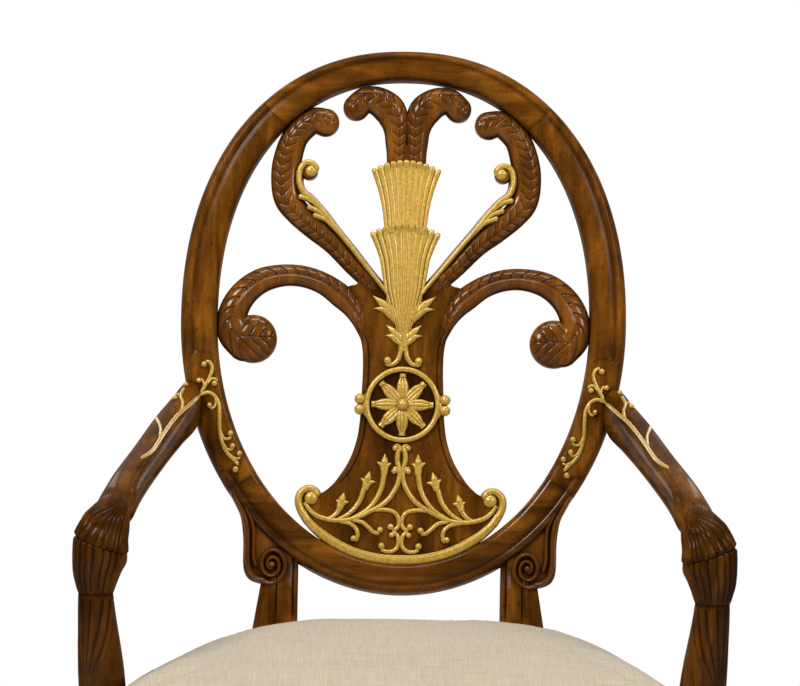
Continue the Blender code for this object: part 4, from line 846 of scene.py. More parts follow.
# %% [markdown]
# ## Gilding: leaves under the sheaf
# Two leaves of three lobes grow on each side of the sheaf's foot, above a small scroll. Every lobe is one
# tapering stroke, which stays rounder than a cut-out shape would, and the strokes of one side are flipped
# for the other.

# %% Leaves and scrolls at the foot of the sheaf
form = new_form()
LOBES = [([(7, -2), (16, 11), (24, 18), (31.5, 24)], 4.8), ([(8, -1), (18, 9), (24, 11), (30.5, 11)], 3.6),
         ([(7, 0), (13, 13), (18, 22.5)], 4.4), ([(2, -24), (8, -14), (12.5, -9.5), (17.5, -5)], 4.2),
         ([(2, -25), (9, -18), (13, -16), (18.8, -15.5)], 3.2), ([(2, -22), (5.5, -14), (8, -8)], 3.6)]
for side in (-1, 1):
    for line, half in LOBES:
        flat_stroke(form, flip(line, side), half, 3.8,
                    lambda t: (0.6 + 0.5 * math.sin(math.pi * t)) * (1.06 - t ** 3.5))
    tail = [(2.0, -22), (2.6, -30), (4.5, -38), (9, -43.5), (14, -44.5), (17.5, -42)]
    flat_stroke(form, flip(tail, side), 2.7, 3.4)
    bead(form, (side * 15.5, -40.5), 3.9)
piece("sheaf_leaves", form, gold_leaf, "gilt", "lower_sheaf", crease=60)

# %% [markdown]
# ## Gilding: the roundel
# A plain wire ring frames a flower of eight long petals round a boss, and a pair of beads holds the ring
# on either side. The ring is a small circle spun round the roundel's middle; one petal is drawn and
# repeated.

# %% Roundel and rosette
ROUNDEL = (0.0, -84.0)
form = new_form()
upright = Matrix.Translation((0.0353, 0, 0)) @ Matrix.Rotation(math.pi / 2, 4, "X")
wire = bmesh.ops.create_circle(form, segments=14, radius=0.0027, matrix=upright)["verts"]
bmesh.ops.spin(form, geom=wire + ring_edges(form, wire), cent=(0, 0, 0), axis=(0, 0, 1), angle=math.tau,
               steps=90, use_merge=True)
bmesh.ops.remove_doubles(form, verts=form.verts, dist=1e-6)
to_roundel = Matrix.Translation(on_back(*ROUNDEL, SEAT_W + 2.4) - BOARD.translation) @ BOARD
bmesh.ops.transform(form, verts=form.verts, matrix=to_roundel)
for side in (-1, 1):
    flat_stroke(form, flip([(34, -99), (37, -84.3), (34, -69.5)], side), 4.2, 4.6, leaf_shape)
    for v in (-79.0, -89.4):
        bead(form, (side * 42.4, v), 5.6)
piece("beaded_roundel", form, gold_leaf, "gilt", "roundel_ring", crease=60)

form = new_form()
PETAL = [(0.0, 0.45), (0.25, 0.85), (0.5, 1.0), (0.72, 0.86), (0.84, 0.62), (0.9, 0.56), (1.0, 0.4)]


def petal_width(t):
    k = next(j for j, (place, _) in enumerate(PETAL) if place >= t)
    (t0, w0), (t1, w1) = PETAL[max(k - 1, 0)], PETAL[k]
    return w0 + (w1 - w0) * (t - t0) / max(t1 - t0, 1e-6)


for k in range(8):
    turn = math.tau * k / 8 + math.pi / 2
    way, side = Vector((math.cos(turn), math.sin(turn))), Vector((-math.sin(turn), math.cos(turn)))
    for lean, start in ((-1, 3.0), (1, 3.0), (0, 2.5)):
        spots = ((start, 1.2), (10, 2.9), (17, 3.3), (23, 2.7), (27.6, 1.4))
        line = [Vector(ROUNDEL) + way * reach + side * lean * off for reach, off in spots]
        flat_stroke(form, line, 2.9, 3.6 if lean else 4.3, petal_width)
    knob = [Vector(ROUNDEL) + way * reach for reach in (26.5, 28.5, 31.4)]
    flat_stroke(form, knob, 3.5, 3.6, blunt, gap=0.7)
bead(form, ROUNDEL, 5.6, SEAT_W + 1.4)
piece("petalled_rosette", form, gold_leaf, "gilt", "rosette", crease=50)

# %% [markdown]
# ## Gilding: the boat-shaped foot
# The splat stands on a gilt crescent whose ends roll up into scrolls. The crescent has a groove near its
# inner edge, so a section with that groove is swept along the curve. The scrolls are plain strokes round
# a boss.

# %% Crescent and its scrolls
CRESCENT = [(-97, -192.5, 4.2), (-91, -201, 4.2), (-84, -208, 4.6), (-76, -214.3, 5.0), (-66, -220.7, 5.2),
            (-54, -227, 5.3), (-40, -232.3, 5.3), (-20, -236.3, 5.3), (0, -237.2, 5.3)]
# Each section point is (share across, rise, darkness); the darkness is painted shade in the groove and along
# the edges.
SECTION = [(1, 0.4, 0.2), (0.95, 1.8, 0), (0.8, 3.0, 0), (0.5, 4.0, 0), (0.1, 4.5, 0), (-0.3, 4.6, 0),
           (-0.55, 4.3, 0), (-0.66, 3.9, 0.35), (-0.74, 4.2, 0), (-0.86, 4.0, 0), (-0.96, 2.6, 0),
           (-1, 0.4, 0.2), (-0.9, -0.4, 0), (0.9, -0.4, 0)]
form = new_form()
foot_line = smooth_line(CRESCENT + mirrored(CRESCENT)[-2::-1], 6)
rings = []
for k, station in enumerate(foot_line):
    along = heading(foot_line, k).xy.normalized()
    side = Vector((along.y, -along.x))
    rings.append([(on_back(*(station.xy + side * t * station.z), SEAT_W + rise), dark)
                  for t, rise, dark in SECTION])
sweep(form, rings)
SCROLL = [(-90, -202.5), (-94.5, -196.3), (-98.8, -189), (-101.2, -181.5), (-100.2, -174.5),
          (-96.3, -169.8), (-90.5, -168), (-84.8, -170.5), (-82, -176.5)]
for side in (-1, 1):
    flat_stroke(form, flip(SCROLL, -side), 4.1, 4.6, lambda t: blunt(t) * (1.1 - 0.3 * t), gap=1.2)
    bead(form, (side * 88.6, -177.4), 7.0, SEAT_W, 4.6)
    flat_stroke(form, flip([(-95.5, -181.5), (-92, -186.5), (-86, -192)], -side), 2.8, 3.6, fading)
piece("scrolled_crescent", form, gold_leaf, "gilt", "foot_rim", crease=60)

# %% [markdown]
# ## Gilding: sprays of buds
# Inside the crescent grow sprays of buds and curls. A bud is three strokes from one throat, two lobes
# that bend outwards and a pointed middle, and a curl is a stroke with a bead at its end. One half is
# drawn, and its mirror image makes the other.

# %% Sprays of buds
STEM = [(-94, -184), (-90, -189.5), (-82, -195.3), (-70, -198.6), (-60, -199.2), (-50, -198), (-40, -194.5),
        (-30, -189.5), (-20, -184), (-12, -177), (-6, -168), (-2.6, -160), (-1.6, -151), (-2.6, -145),
        (-4, -139), (-3.6, -132), (-1.8, -127), (-4.5, -124.3), (-7.5, -125.5)]
SPRAYS = [
    ([(-50, -198), (-38, -191.5), (-30, -185), (-24, -177), (-19.5, -167), (-17.5, -157), (-16.8, -150)],
     (-16.5, -132.5), (-24.3, -141.2), (-9.8, -142.2)),
    ([(-62, -198.5), (-52, -193), (-45, -186), (-40, -178), (-37, -169), (-35, -165)],
     (-31, -150), (-40.2, -157.2), (-25.3, -160.8)),
    ([(-72, -198), (-66, -194.8), (-61.8, -190), (-59.8, -185)],
     (-56.2, -171.5), (-64.2, -179), (-51.3, -181))]
CURLS = [
    ([(-48, -198.5), (-38, -200.5), (-32, -205), (-27, -209.5), (-23, -211), (-19.8, -210)],
     (-20, -207.8), 3.3),
    ([(-60, -200), (-50, -202), (-44, -206.5), (-42, -212), (-43, -217), (-45.5, -219)], (-46, -216.6), 3.2),
    ([(-27, -188.5), (-17, -187.8), (-9, -189), (-4, -192), (-1.7, -197), (-1.7, -203), (-5, -207),
      (-9, -207.3)], (-9.6, -204.6), 3.4),
    ([(-8.5, -210.6), (-5.5, -210.4), (-2.6, -213.5), (-1.5, -219), (-3, -225), (-8, -228.7), (-14, -228.9),
      (-18.8, -226)], (-18.3, -223.4), 3.4),
    ([(-1.6, -153), (-3.4, -148.6), (-6, -147.2), (-8.2, -148.2)], (-6.8, -149.8), 3.1)]
form = new_form()
flat_stroke(form, STEM, 2.7, 3.2)
for line, tip, *lobes in SPRAYS:
    flat_stroke(form, line, 2.6, 3.0, lambda t: (0.85 + 0.3 * t) * blunt(t))
    throat, tip = Vector(line[-1]), Vector(tip)
    axis = tip - throat
    for lobe in lobes:
        lobe = Vector(lobe)
        up = (lobe - throat).dot(axis) / axis.length_squared
        aside = lobe - throat - axis * up
        bell = [throat - axis * 0.25, throat + axis * up * 0.35 + aside * 0.2,
                throat + axis * up * 0.8 + aside * 0.5, lobe]
        flat_stroke(form, bell, 3.1, 3.4, lambda t: (1.0 - 0.72 * t ** 2.5) * blunt(t), gap=0.8)
    bud = [throat + axis * t for t in (0.05, 0.5, 0.75, 1.0)]
    flat_stroke(form, bud, 3.9, 3.8, lambda t: min(1.0, 0.8 + 0.4 * t) * (1 - max(0, t - 0.55) / 0.48),
                gap=0.8)
for line, ball, radius in CURLS:
    flat_stroke(form, line, 2.35, 3.0)
    bead(form, ball, radius)
for spot in ((-6.4, -127), (-8.5, -212.6)):
    bead(form, spot, 3.0)
both_sides("bud_sprays", form, gold_leaf, "gilt", "foliage", crease=60)

# %% [markdown]
# ## Gilding: acanthus
# A gilt leaf runs down the inner edge of each S feather and sends three curls across it. It lies higher
# than the rest of the gilding, on the carved feather, so its strokes have seats of their own.

# %% Acanthus on the inner edge of each S feather
form = new_form()
flat_stroke(form, [(-91, 145), (-90.3, 150.5), (-94.5, 155), (-100.5, 155.5), (-105.3, 151)] + ACANTHUS,
            3.3, 4.0, lambda t: (1.0 - 0.4 * t) * blunt(t), seat=8.0)
bead(form, (-95.4, 147.6), 6.2, 7.0, 4.8)
for line in ([(-64, 84), (-78, 101), (-90, 113.5), (-98, 119), (-105, 121)],
             [(-62, 81), (-76, 96.5), (-86, 106), (-96, 110.5)],
             [(-60, 78), (-72, 91), (-80, 98.5), (-90, 102.5)]):
    flat_stroke(form, line, 2.5, 4.0, lambda t: (0.55 + 0.6 * t) * blunt(t), seat=7.2)
    bead(form, line[-1], 2.9, 7.6)
both_sides("acanthus_edge", form, gold_leaf, "gilt", "acanthus", crease=60)

# %% [markdown]
# ## Arms
# Each arm grows out of its stile, sweeps outwards and down, and ends in a knuckle carved as a fan of
# reeds. Its line and its sizes are the joiner's. The carver narrows the wrist, lets the fan stand proud
# of it behind an arched edge, and tilts the end so that the inner side sits lower.

# %% Carved arms
ARM_START = on_back(-211.56, -84)
ARM_END = Vector((-0.2697, -0.1635, 0.588))
ARM_SIDES, ARM_STEPS = 168, 22


def down_the_arm(x, y, z):
    run = ARM_END - ARM_START
    return ARM_START + Vector((run.x * x, run.y * y, run.z * z))


ARM = [(on_back(-209.6, -86, -10.9), 10.8, 18.6), (on_back(-211.0, -86, 10.9), 11.6, 20.2),
       (down_the_arm(0.06, 0.13, 0.09), 15.5, 20.7), (down_the_arm(0.245, 0.28, 0.21), 16.8, 18.0),
       (down_the_arm(0.463, 0.50, 0.38), 16.8, 15.0), (down_the_arm(0.68, 0.75, 0.56), 16.8, 15.0),
       (down_the_arm(0.80, 0.90, 0.70), 17.3, 15.0), (down_the_arm(0.925, 0.98, 0.86), 19.9, 19.0),
       (ARM_END, 23.7, 22.3)]
REED_COUNT = 22
TILT = 0.32


def reeding(beat):
    """1 in the groove between two reeds, 0 on their crowns; one beat is one reed."""
    return (1 - abs(math.sin(math.pi * beat))) ** 1.3


def fan_angle(turn, to_end):
    """Degrees round the point on the inner top of the wrist where the knuckle's flutes meet."""
    around = (turn - math.radians(28) + math.pi * 0.6) % math.tau - math.pi * 0.6
    return math.degrees(math.atan2(around * 21, 47 - to_end))


def carved_arm():
    form = new_form()
    middles = smooth_line([k[0] for k in ARM], ARM_STEPS)
    sizes = smooth_line([(*k[1:], 0) for k in ARM], ARM_STEPS)
    to_end = [0.0]
    for a, b in zip(middles[::-1], middles[-2::-1]):
        to_end.insert(0, to_end[0] + (b - a).length * 1000)
    last = len(middles) - 1
    rings = []
    for k, middle in enumerate(middles):
        run = heading(middles, k).normalized()
        if k < 0.86 * last:
            plan = run.xy.normalized()
        run = run.lerp(Vector((0, 0, -1)), ease((k / last - 0.90) / 0.10)).normalized()
        across = Vector((-plan.y, plan.x, 0))
        rise = run.cross(across).normalized()
        ring = []
        for j in range(ARM_SIDES):
            turn = math.tau * j / ARM_SIDES
            c, s = math.cos(turn), math.sin(turn)
            fan_top = 30 + 12 * max(0.0, s)
            fan = ease((fan_top - to_end[k]) / 2.2)
            angle = fan_angle(turn, to_end[k])
            on_fan = ease((angle + 5) / 5) * (1 - ease((angle - 112) / 20))
            carved = fan * on_fan
            wrist = 1 - 0.085 * math.exp(-((to_end[k] - fan_top - 3) / 8) ** 2)
            groove = reeding(angle / 6.4) * carved
            parting = 1 - ease((c - 0.8) / 0.15)
            lip = 1 - 0.10 * parting * (1 - ease(to_end[k] / 2.6))
            grow = wrist * lip * (1 + 0.03 * fan) - 0.05 * groove
            side = signed_power(c, 0.85) * sizes[k].x * grow
            up = signed_power(s, 0.85) * sizes[k].y * grow
            drop = -TILT * side * ease((34 - to_end[k]) / 34)
            edge = max(0.0, 1 - abs(fan_top - to_end[k] + 0.6) / 1.5) * on_fan
            # Painted shade in the grooves between reeds, along the fan's arched edge and in the parting at
            # the end; the carved fan is also darker all over.
            dark = max(groove, 0.8 * edge, parting * (1 - ease(to_end[k] / 2.0)), 0.4 * carved)
            ring.append((middle + (across * side + rise * up + Vector((0, 0, drop))) * 0.001, dark))
        rings.append(ring)
    sweep(form, rings)
    return form


arms = both_sides("reeded_arm", carved_arm(), mahogany_deep, "mahogany", "arm", crease=60)

# %% [markdown]
# ## Arm supports
# Under the knuckle hangs a reeded bulb, then a tight neck, then a shaft whose reeds run out to a point on
# the outer side and leave the inner side plain. Its foot is flattened where it stands against the seat.

# %% Plan of the seat
SEAT_BACK, SEAT_FRONT, SEAT_DEPTH = 0.1700, -0.2655, 0.4355
SEAT_REAR_HALF, SEAT_FRONT_HALF = 0.1255, 0.2560
RAIL_TOP, RAIL_BOTTOM = 0.446, 0.385


def side_x(y):
    share = min(max((SEAT_BACK - y) / SEAT_DEPTH, 0.0), 1.0)
    return SEAT_REAR_HALF + (SEAT_FRONT_HALF - SEAT_REAR_HALF) * math.sin(share * math.pi / 2) ** 0.8


def front_y(x):
    return SEAT_FRONT - 0.018 * (1 - (x / SEAT_FRONT_HALF) ** 2)


print("half widths of the seat, front and back:", side_x(SEAT_FRONT), side_x(SEAT_BACK), "m")

# %% Arm supports
SUPPORT = [(-269.7, -163.5, 587.7, 23.7), (-270.4, -163.5, 576.3, 24.0), (-272.5, -163.5, 561.2, 21.1),
           (-273.2, -163.5, 543.5, 16.2), (-272.2, -161.8, 525.5, 16.7), (-268.5, -150.9, 473.5, 20.5),
           (-266.5, -141.1, 432.3, 20.5), (-266.5, -135.5, 400.0, 18.0)]
BULB_TOP, NECK = 587.7, 543.5


def carved_support():
    form = new_form()
    places = smooth_line([k[:3] for k in SUPPORT], 26)
    sizes = smooth_line([(k[3], 0, 0) for k in SUPPORT], 26)
    rings = []
    for place, size in zip(places, sizes):
        half, z = size.x, place.z
        neck = math.exp(-((z - NECK) / 2.4) ** 2)
        fall = max(0.0, NECK - z) / 92
        middle, reach = math.radians(262 - 34 * fall), math.radians(max(104 - 98 * fall, 5))
        ring = []
        for j in range(ARM_SIDES):
            turn = math.tau * j / ARM_SIDES
            c, s = math.cos(turn), math.sin(turn)
            parting = 1 - ease((c - 0.72) / 0.15)
            if z > NECK:
                plain = ease((c - 0.45 - 0.3 * (z - NECK) / 40) / 0.2)
                groove = reeding(REED_COUNT * turn / math.tau) * (1 - plain)
            else:
                off = ((turn - middle + math.pi) % math.tau - math.pi) / reach
                plain = ease((abs(off) - 0.9) / 0.15)
                groove = reeding(3 * off) * (1 - plain) * ease((math.degrees(reach) - 12) / 24)
            groove *= 1 - neck
            lip = 1 - 0.10 * parting * (1 - ease((BULB_TOP - z) / 2.6))
            grow = lip * (1 - 0.05 * neck) - (0.085 if z > NECK else 0.06 * min(1.0, 1.4 - fall)) * groove
            x = signed_power(c, 0.85) * half * grow
            y = signed_power(s, 0.85) * half * 0.92 * grow
            drop = -TILT * x * ease((z - 556) / 31.7)
            spot = (place + Vector((x, y, drop))) * 0.001
            clear = side_x(spot.y) + 0.0009 - 1.1 * max(0.0, spot.z - 0.457)
            spot.x = min(spot.x, -clear)
            # Painted shade in the grooves, the neck and the parting, and on the outer side.
            dark = max(groove, 0.85 * neck, parting * (1 - ease((BULB_TOP - z) / 2.0)),
                       0.4 * ease((0.3 - c) / 0.8), 0.4 * ease((z - NECK) / 3) * parting)
            ring.append((spot, dark))
        rings.append(ring)
    sweep(form, rings)
    return form


both_sides("reeded_support", carved_support(), mahogany_dark, "mahogany", "arm_support", crease=60)

# %% [markdown]
# ## Gilt tendrils on stiles and arms
# A tendril starts on the arm, climbs over the joint and ends in curls on the stile's pad. It was seen
# from the front, so each of its places is sent along the line of sight until it meets the wood. The
# surface's own normal then says which way the stroke faces.

# %% Tendrils laid on the carved wood
stile = bpy.data.objects["moulded_stile_left"]
wood_skins = [BVHTree.FromPolygons([v.co for v in obj.data.vertices], [p.vertices for p in obj.data.polygons])
              for obj in (stile, arms[0])]


def on_wood(u, v):
    """Where the line of sight through a place of the drawing meets stile or arm, and which way that faces."""
    sight = (on_back(u, v) - EYE).normalized()
    hits = [hit for hit in (skin.ray_cast(EYE, sight) for skin in wood_skins) if hit[0] is not None]
    return min(hits, key=lambda hit: hit[3])[:2] if hits else None


def laid_stroke(form, points, half, height=2.2, width=blunt):
    spots = [on_wood(p.x, p.y) for p in walk([(*p, 0) for p in points], 1.3)]
    spots = [spot for spot in spots if spot]
    if len(spots) > 3:
        stroke(form, [spot[0] for spot in spots], half, height, [spot[1].normalized() for spot in spots],
               width)


def laid_bead(form, u, v, radius):
    spot = on_wood(u, v)
    if spot:
        bmesh.ops.create_uvsphere(form, u_segments=12, v_segments=8, radius=radius * 0.001,
                                  matrix=Matrix.Translation(spot[0] + spot[1] * radius * 0.0004))


STILE_LINES = [
    ([(-202, -78.5), (-197.6, -70), (-192.6, -60.6), (-189.9, -52), (-191.9, -45.5), (-196.9, -43.8)], 2.1),
    ([(-197.5, -69.5), (-198.6, -64), (-201.5, -61.2)], 1.7),
    ([(-194.3, -66.5), (-190.4, -61.5), (-186.4, -61.6), (-185, -64.6)], 1.7),
    ([(-201, -77.5), (-194, -74.8), (-187, -78), (-182.6, -85.5), (-181.4, -96), (-181.3, -107), (-180, -117),
      (-176.6, -128), (-171, -136.2), (-164.8, -141.8), (-161.4, -147)], 2.1),
    ([(-186, -79.6), (-185.4, -86), (-188.2, -90.3), (-191.6, -89.8)], 1.6),
    ([(-180.6, -112), (-177, -119.6), (-172, -120.4), (-169, -117.4)], 1.7),
    ([(-178.2, -123), (-174, -130), (-169.4, -131), (-167, -129)], 1.7),
    ([(-169.4, -137.6), (-163.2, -140), (-159.6, -137.6)], 1.6)]
STILE_BEADS = [(-198, -47, 3.1), (-202.9, -63.2, 2.9), (-187.6, -65.9, 2.9), (-164.2, -150.4, 3.2),
               (-191.8, -87.6, 2.8), (-170.3, -114.9, 2.9), (-168, -127.4, 2.9), (-161, -134.6, 2.8)]
ARM_LINES = [
    ([(-258.4, -142), (-247.5, -134), (-238.8, -120.5), (-230, -107), (-222, -97), (-213, -88.8),
      (-202, -78.5)], 2.1),
    ([(-219.6, -94), (-218.4, -86), (-220.4, -79), (-217, -71)], 1.7),
    ([(-219.6, -80), (-223.6, -78), (-226, -80)], 1.6),
    ([(-240.2, -121.4), (-239.6, -111.6), (-242.6, -104), (-244.6, -100.6)], 1.7)]
ARM_BEADS = [(-215.6, -68.6, 2.8), (-226, -82, 2.8), (-245, -100, 2.6)]
for name, lines, beads in (("stile", STILE_LINES, STILE_BEADS), ("arm", ARM_LINES, ARM_BEADS)):
    form = new_form()
    for line, half in lines:
        laid_stroke(form, line, half)
    for u, v, radius in beads:
        laid_bead(form, u, v, radius)
    both_sides(f"{name}_tendrils", form, gold_leaf, "gilt", f"{name}_scroll", crease=60)

# %% [markdown]
# ## Rear legs
# Each rear leg is a raked post. Above the seat a scrolled bracket carries the oval, with ridges that
# follow its outline and a spiral roll. The post's face has a fine groove near each edge and a chamfer
# towards the outside.

# %% Posts
FACE = 0.735
# Each POST point is (share across, depth, groove); the groove number also gives painted shade in the grooves
# and at the chamfer's edge.
POST = [(0.0, -0.40, 0), (0.015, -0.47, 0), (0.04, -0.5, 0), (0.085, -0.5, 0), (0.115, -0.45, 1),
        (0.14, -0.45, 1), (0.16, -0.495, 0), (0.34, -0.505, 0), (0.53, -0.5, 0), (0.55, -0.45, 1),
        (0.575, -0.45, 1), (0.60, -0.485, 0), (0.65, -0.5, 0), (0.70, -0.48, 0), (FACE, -0.42, 0.4),
        (0.85, -0.27, 0), (0.985, -0.10, 0), (1.0, -0.05, 0), (1.0, 0.4, 0), (0.985, 0.45, 0),
        (0.9, 0.5, 0), (0.04, 0.5, 0), (0.0, 0.46, 0)]
POST_TOP, LEG_FOOT = 0.5466, 0.0033


def rake_y(z):
    return BACK_Y + (z - BACK_Z) * math.tan(math.radians(RAKE))


def post_ring(z):
    fall = max(0.0, (RAIL_BOTTOM - z) / (RAIL_BOTTOM - LEG_FOOT))
    y = rake_y(z) if z > RAIL_TOP else rake_y(RAIL_TOP) + (0.2695 - rake_y(RAIL_TOP)) * fall ** 1.6
    flare = min(max(0.0, 1 - (z - RAIL_TOP) / 0.030), 1.0)
    above = max(0.0, z - RAIL_TOP)
    inner = 0.1035 + 0.045 * fall ** 1.2 - 0.0034 * ease(above / 0.02)
    outer = 0.1475 + 0.045 * fall ** 1.2 - 0.016 * fall - 0.165 * above
    face = 0.0277 * (1 - 0.364 * fall)
    depth = 0.027 + 0.0045 * flare
    depth += (0.028 - depth) * fall
    depth *= 1 - 0.46 * ease((z - 0.500) / 0.035)
    shown = ease((z - 0.470) / 0.02)
    ring = []
    for share, stand, cut in POST:
        stand = -0.5 + (stand + 0.5) * shown if cut == 1 else stand
        x = inner + min(share / FACE, 1) * face + max(0.0, share - FACE) / (1 - FACE) * (outer - inner - face)
        ring.append((Vector((-x, y + stand * depth, z)), cut * shown))
    return ring


form = new_form()
sweep(form, [post_ring(POST_TOP - (POST_TOP - LEG_FOOT) * k / 110) for k in range(111)])
both_sides("raked_rear_leg", form, mahogany_tall, "mahogany", "rear_leg", crease=50)

# %% Brackets and scrolls
BRACKET = [(-150, -160), (-172, -166), (-168, -176), (-162, -188), (-157.7, -198.7), (-155.7, -211.5),
           (-154.8, -223), (-154.8, -233), (-154.6, -243), (-153, -251.5), (-148.6, -258), (-138.5, -261.8),
           (-124, -262), (-113, -259), (-107, -248), (-106, -235), (-110, -215)]
form = new_form()
bracket_line = [Vector(p) for p in smooth_line(BRACKET, 5, closed=True)]
# Each step is (inset, height, darkness); the darkness is painted shade on the plate's edge, where it turns
# away.
bracket_steps = [(1.0, -13, 0), (0, -12, 0), (0, 5.5, 0.3), (0.6, 7.0, 0.3), (1.6, 7.5, 0)]
stepped_plate(form, bracket_line[::-1], bracket_steps)
roll = [(-126 + 0.8 * x, -243.8 + y) for x, y in spiral((0, 0), 18.6, 2.8, 232, 2.25, 90)]
outer_ridge = [(-168, -171), (-159.5, -187), (-153.6, -199), (-151.2, -212), (-150.6, -226), (-150.4, -240),
               (-147.4, -251), (-141, -257.4)]
flat_stroke(form, outer_ridge + roll, 3.0, 6.8, lambda t: blunt(t) * (1 - 0.3 * t), seat=7.2)
inner_ridge = [(-158, -182), (-149.6, -195), (-145.4, -207), (-144.6, -221), (-144.4, -236), (-141.4, -247)]
flat_stroke(form, inner_ridge, 2.3, 4.6, seat=7.2)
bead(form, (-126, -243.8), 3.2, 9.6)
both_sides("scrolled_bracket", form, mahogany_carved, "mahogany", "rear_leg", crease=50)

# %% [markdown]
# ## Front legs
# The front legs taper from a square block to an ankle and stand on spade feet, as on most chairs of this
# family.

# %% Tapered legs on spade feet
FRONT_LEG = Vector((-0.228, -0.240, 0))
form = new_form()
rings = []
for z, half in ((RAIL_TOP, 21), (0.373, 21), (0.3665, 20.3), (0.363, 19.5), (0.062, 13.2), (0.060, 13),
                (0.0575, 15.2), (0.052, 17.4), (0.048, 18.3), (0.044, 18.5), (0.040, 18.2), (0.0075, 14.4),
                (LEG_FOOT, 13.6)):
    corner = half * 0.86
    outline = [(corner, -half), (half, -corner), (half, corner), (corner, half), (-corner, half),
               (-half, corner), (-half, -corner), (-corner, -half)]
    rings.append([(FRONT_LEG + Vector((dx * 0.001, dy * 0.001, z)), 0) for dx, dy in outline])
sweep(form, rings)
for leg in both_sides("spade_leg", form, mahogany_tall, "mahogany", "front_leg", crease=40):
    soften = leg.modifiers.new("worn_edges", "BEVEL")
    soften.width, soften.segments = 0.0012, 3
    soften.limit_method, soften.angle_limit = "ANGLE", math.radians(28)

# %% [markdown]
# ## The upholstered seat
# Linen is drawn over the padding, down the rails and tacked underneath. Its skin is swept from the hem up
# over the edge, then ring by ring over a dome that is flat in the middle. The plan's corners fade out on
# the way up, as they do under real cloth.


# %% Skin of the seat
CORNER = 0.016  # how far the front corners are rounded


def seat_line(inset):
    last_y = SEAT_FRONT + CORNER
    half = [Vector((SEAT_REAR_HALF * k / 5, SEAT_BACK)) for k in range(5)]
    along_y = [SEAT_BACK + (last_y - SEAT_BACK) * (k / 40) ** 1.4 for k in range(41)]
    half += [Vector((side_x(y), y)) for y in along_y]
    start = half[-1]
    end = Vector((start.x - CORNER, front_y(start.x - CORNER)))
    bend = Vector((start.x, end.y))
    half += [start.lerp(bend, t).lerp(bend.lerp(end, t), t) for t in (0.2, 0.4, 0.6, 0.8)]
    half += [Vector((x, front_y(x))) for x in (end.x * k / 20 for k in range(20, -1, -1))]
    line = half + [Vector((-p.x, p.y)) for p in half[-2:0:-1]]
    return [drawn_in(line, k, inset) for k in range(len(line))]


MIDDLE = Vector((0, (SEAT_BACK + SEAT_FRONT) / 2))
RIM_Z, RIM_INSET = 0.4655, 0.0066  # where the flat sides end and the dome starts
CROWN, FULLER_RIGHT = 0.0285, 0.06


def over_the_crown(edge, share):
    reach = edge - MIDDLE
    c, s = reach.normalized()
    round_reach = 1 / math.hypot(c / SEAT_FRONT_HALF, 2 * s / SEAT_DEPTH)
    return MIDDLE + Vector((c, s)) * share * (round_reach + (reach.length - round_reach) * share ** 2)


rings = [[(*p, z) for p in seat_line(inset)] for inset, z in
         ((0.0025, RAIL_BOTTOM), (0.0016, 0.398), (0.0012, 0.411), (0.0010, 0.424), (0.0010, 0.437),
          (0.0010, 0.446), (0.0013, 0.452), (0.0022, 0.4575), (0.0040, 0.4620), (RIM_INSET, RIM_Z))]
edge_line = seat_line(RIM_INSET)
for k in range(1, 30):
    share = 1 - k / 30.0
    places = [over_the_crown(p, share) for p in edge_line]
    dome, fuller = CROWN * (1 - share ** 2.7), FULLER_RIGHT * (1 - share ** 8)
    rings.append([(*p, RIM_Z + dome + fuller * max(0, p.x - 0.05)) for p in places])
form = new_form()
sweep(form, [[(Vector(p), 0) for p in ring] for ring in rings], closed=False)
top_hole = [edge for edge in form.edges if edge.is_boundary and min(v.co.z for v in edge.verts) > 0.48]
bmesh.ops.edgeloop_fill(form, edges=top_hole)
bmesh.ops.poke(form, faces=[face for face in form.faces if len(face.verts) > 4])
bmesh.ops.recalc_face_normals(form, faces=form.faces)
skin = bare_object("linen_skin", form)
before = [v.co.copy() for v in skin.data.vertices]
print("seat skin of", len(before), "points, crown at", round(max(p.z for p in before) * 1000, 1), "mm")

# %% [markdown]
# ## Stuffing
# To get the swell of stuffing under tight cloth, the skirt is pinned to the rails and a cloth simulation
# blows the skin up gently. No point may move far. A simulation was chosen because it makes the cloth
# fuller where it is free and leaves it tight near the tacks.


# %% Stuffing the seat
def stuffed(obj, limit):
    """Blows the skin up as cloth and gives where each of its points rose to, none further than a limit."""
    pins = obj.vertex_groups.new(name="tacked")
    for vert in obj.data.vertices:
        pins.add([vert.index], 1 - ease((vert.co.z - 0.440) / 0.024), "REPLACE")
    cloth_tool = obj.modifiers.new("stuffing", "CLOTH")
    settings = cloth_tool.settings
    settings.quality, settings.mass = 6, 0.3
    settings.tension_stiffness = settings.compression_stiffness = 18
    settings.bending_stiffness = 1.5
    settings.use_pressure, settings.uniform_pressure_force = True, 4.0
    settings.vertex_group_mass = "tacked"
    settings.effector_weights.gravity = 0
    cloth_tool.collision_settings.use_collision = False
    cloth_tool.point_cache.frame_start, cloth_tool.point_cache.frame_end = 1, 20
    for step in range(1, 21):
        bpy.context.scene.frame_set(step)
    graph = bpy.context.evaluated_depsgraph_get()
    blown = [v.co.copy() for v in obj.evaluated_get(graph).data.vertices]
    obj.modifiers.remove(cloth_tool)
    bpy.context.scene.frame_set(1)
    return [a + Vector((0, 0, min(max(b.z - a.z, -limit), limit))) for a, b in zip(before, blown)]


after = stuffed(skin, 0.003)
moved = [(b - a).length for a, b in zip(before, after)]
print("the stuffing moves the cloth by up to", round(max(moved) * 1000, 1), "mm")

# %% [markdown]
# ## Creases
# A crease runs from each front corner, where the cloth is pulled. It could be sculpted by hand; a formula
# for its depth keeps both corners alike. The hem is then turned in under the rails and closed behind.


